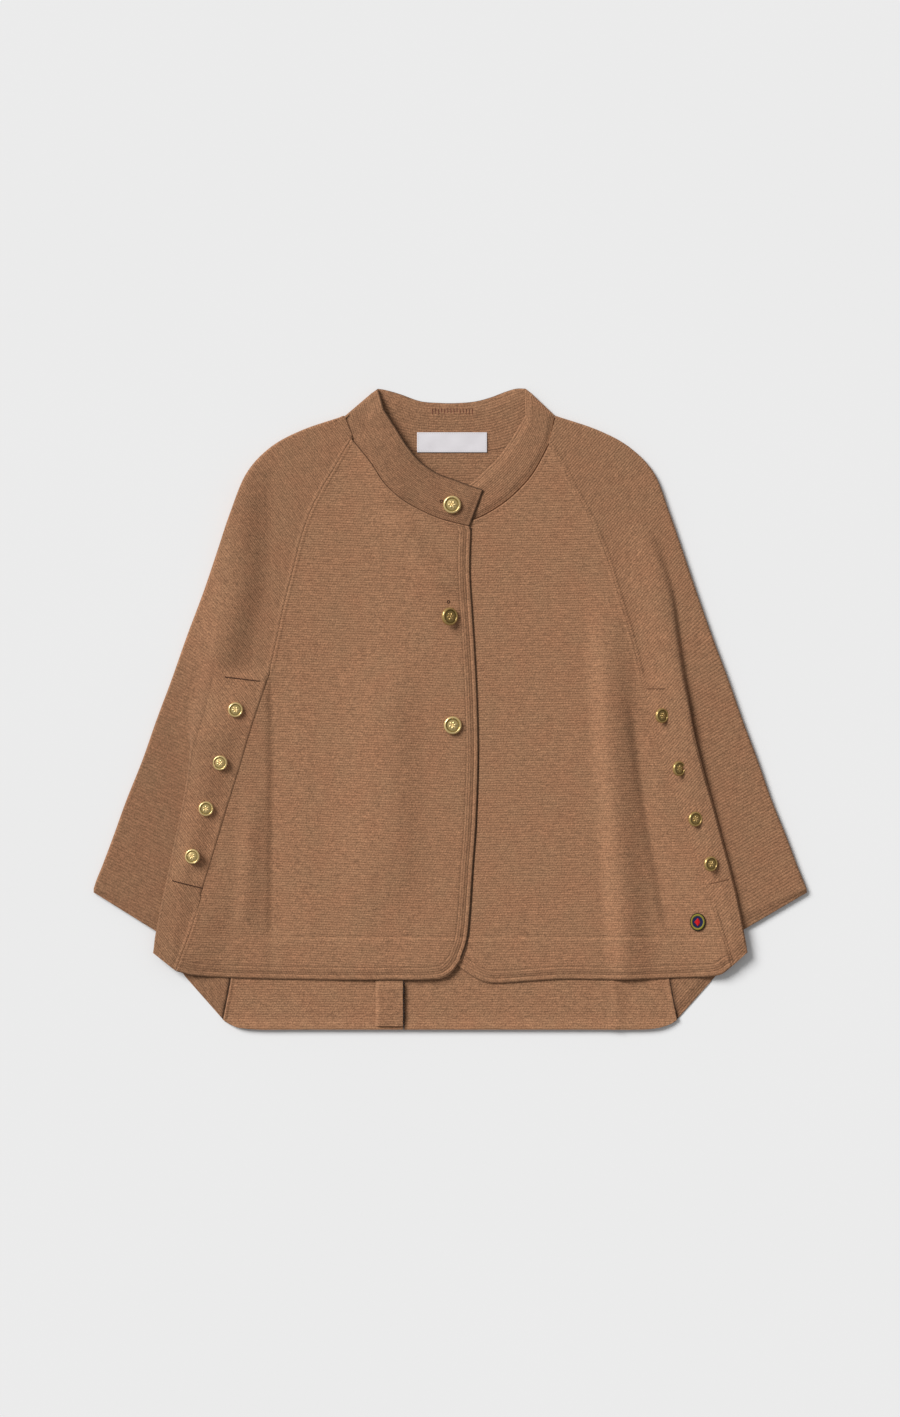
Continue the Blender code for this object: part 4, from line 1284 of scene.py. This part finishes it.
def sewn_details(things):
    """The bar tacks at the slits' ends, the eyelets and the stitches inside the collar."""
    lines = np.stack(list(TACKS.values()), axis=-1).reshape(-1, 2, 2)
    # The left tacks take the darker brown thread as painted shade, and the right ones the lighter camel
    # thread as painted light.
    for name, pair, thread in (("left", lines[:2], "Brown"), ("right", lines[2:], "Camel")):
        starts, ends = [], []
        for start, end in pair:
            along = unit(end - start)
            aside = np.array([-along[1], along[0]])
            run = np.arange(0.3, np.linalg.norm(end - start), TACK_PITCH)[:, None]
            middles = start + along * run + aside * 0.15 * np.sin(2.3 * run)
            starts.extend(middles - aside * 0.65 - along * 0.15)
            ends.extend(middles + aside * 0.65 + along * 0.15)
        stitches(f"{name}_bar_tacks", starts, ends, 0.32, threads[thread], "camel_knit", things)
    places = list(zip(EYELETS["x"], EYELETS["y"]))
    starts, ends = (np.concatenate([place + far * circle(14) for place in places]) for far in (0.7, 1.9))
    stitches("eyelets", starts, ends, 0.36, threads["Brown"], "camel_knit", things)
    left, right, top, count = COLLAR_STITCHES
    x = np.linspace(left, right, count)
    y = top + 0.5 * np.sin(2.6 * np.arange(count)) - 0.02 * np.abs(x)
    starts = np.stack([x, y], axis=-1)
    ends = np.stack([x + 0.5, y - 7.4], axis=-1)
    stitches("collar_stitches", starts, ends, 0.38, threads["Red-brown"], "camel_knit", things)


def cut_vent(back):
    """Opens the back's vent slit."""
    bpy.ops.mesh.primitive_cube_add(size=1.0)
    cutter = bpy.context.active_object
    cutter.scale = (VENT_SLIT * MM, 0.2, 0.02)
    cutter.location = ((VENT_RIGHT + VENT_SLIT / 2) * MM, VENT_TOP * MM - 0.1, 0.0)
    cut = back.modifiers.new("Vent", "BOOLEAN")
    cut.object = cutter
    select_only(back)
    back.modifiers.move(len(back.modifiers) - 1, 1)
    apply_all(back)
    bpy.data.objects.remove(cutter)


def label_piece():
    """The white label: a thin woven strip, sewn down along its edges."""
    low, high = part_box("neck_label")
    x, y = np.meshgrid(np.linspace(low.x, high.x, 70), np.linspace(high.y, low.y, 24))
    middle = (low.z + high.z) / 2
    bend = 0.00012 * np.sin((x - low.x) * 210.0) * np.sin((y - low.y) * 260.0)
    inside = np.minimum(np.minimum(x - low.x, high.x - x), np.minimum(y - low.y, high.y - y)) / MM
    grid = np.stack([x, y, middle + bend], axis=-1) / MM
    even = np.ones(x.shape)
    edge_map = np.stack([(x + y) / MM, inside], axis=-1)
    piece = {"grid": grid, "ribs": grid[..., :2], "keep": even, "tone": even, "edge": edge_map}
    made = cloth("label_satin", piece, satin, "label_satin", "neck_label", 0.6)


def badge_piece(things):
    """A small embroidered oval: two thread rings round a dark field with a plain lozenge."""
    low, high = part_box("front_badge")
    centre = (low + high) / 2
    size = np.array([high.x - low.x, high.y - low.y]) / MM
    middle = np.array([centre.x, centre.y]) / MM
    bpy.ops.mesh.primitive_cylinder_add(vertices=48, radius=0.5, depth=1.0)
    base = bpy.context.active_object
    base.name = "badge_field"
    base.scale = (0.97 * size[0] * MM, 0.97 * size[1] * MM, 0.0007)
    base.rotation_euler = (0, badge_tilt(), 0)
    base.location = centre
    bpy.ops.object.mode_set(mode="EDIT")
    bpy.ops.mesh.select_mode(type="FACE")
    select_faces(base.data, lambda face: face.normal.z > 0.9)
    bpy.ops.mesh.inset(thickness=0.06)
    bpy.ops.transform.translate(value=(0, 0, 0.0003))
    bpy.ops.object.mode_set(mode="OBJECT")
    apply_all(base)
    finish_piece(base, threads["Navy"], "badge_thread", "front_badge")
    under = [base] + things
    for k, (name, thread) in enumerate((("badge_rim", "Black"), ("badge_ring", "Olive"))):
        spokes = circle(int(BADGE_RINGS["count"][k])) * size
        ends = [middle + spokes * BADGE_RINGS[part][k] for part in ("outer", "inner")]
        stitches(name, *ends, 0.34, threads[thread], "badge_thread", under)
    rows = np.linspace(-3.6, 3.6, 13)
    half = 0.3 + 3.4 * (1 - np.abs(rows) / 3.8)
    left = np.stack([middle[0] - half, middle[1] + rows], axis=-1)
    right = np.stack([middle[0] + half, middle[1] + rows], axis=-1)
    stitches("badge_lozenge", left, right, 0.36, threads["Red"], "badge_thread", under)


def badge_tilt():
    """How far the cloth under the badge leans."""
    x, y = BADGE_CENTRE
    steps = (-BADGE_STEP, BADGE_STEP)
    left, right = (front_height(1, np.array(x + step), np.array(y)) for step in steps)
    return -math.atan2(float(right - left), 2 * BADGE_STEP)


def light_and_camera():
    """A pale floor, one soft light from the upper left, and the camera straight above."""
    scene = bpy.context.scene
    scene.view_settings.view_transform = "Standard"
    bpy.ops.mesh.primitive_plane_add(size=FLOOR_SIDE, location=(0, 0, -0.0003))
    floor = bpy.context.active_object
    floor.name = "floor"
    floor.data.materials.append(floor_surface())
    world = bpy.data.worlds.new("Studio")
    world.use_nodes = True
    tree = world.node_tree
    put(tree, tree.nodes["Background"], Color=(1.0, 1.0, 1.0, 1.0), Strength=SKY)
    scene.world = world
    lamp = bpy.data.lights.new("Window", "SUN")
    lamp.energy = SUN
    lamp.angle = math.radians(SUN_SPREAD)
    window = new_object("Window", lamp)
    window.rotation_mode = "QUATERNION"
    window.rotation_quaternion = Vector(SUN_FROM).to_track_quat("Z", "Y")
    view = bpy.data.cameras.new("Overhead")
    view.sensor_width = SENSOR
    view.lens = SENSOR * CAMERA_HEIGHT / FRAME_LENGTH
    camera = new_object("Overhead", view)
    camera.location = (0.0, 0.0, CAMERA_HEIGHT + CLOTH_TOP)
    scene.camera = camera


camel = knit_surface("Camel knit", (0.335, 0.171, 0.094), (0.165, 0.078, 0.041), RIB)
gold = gold_surface("Gilt metal", (1.0, 1.0, 1.0))
# A darker copy of the gilt metal: painted shade for buttons tilted from the light.
gold_in_painted_shade = gold_surface("Gilt metal turned from the light", (0.62, 0.55, 0.43))
satin = satin_surface("White satin")
threads = {name: thread_surface(f"{name} thread", colour) for name, colour in THREADS.items()}

light_and_camera()
dressed = main_cloth()
cut_vent(dressed["back"])
label_piece()
badge_piece([dressed["front_right"]])
sewn_details(list(dressed.values()))
forms = {size: button_form(f"button_form_{size:.0f}", size) for size in (18.0, 15.0)}
for row, (size, first, step, tilts) in BUTTONS.items():
    for k, tilt in enumerate(tilts):
        # Buttons tilted past DIM_TILT take the copy in painted shade.
        surface = gold if tilt < DIM_TILT else gold_in_painted_shade
        place_button(forms[size], f"button_{row}_{k + 1}", tilt, first + step * k, surface)
for form in forms.values():
    bpy.data.objects.remove(form)
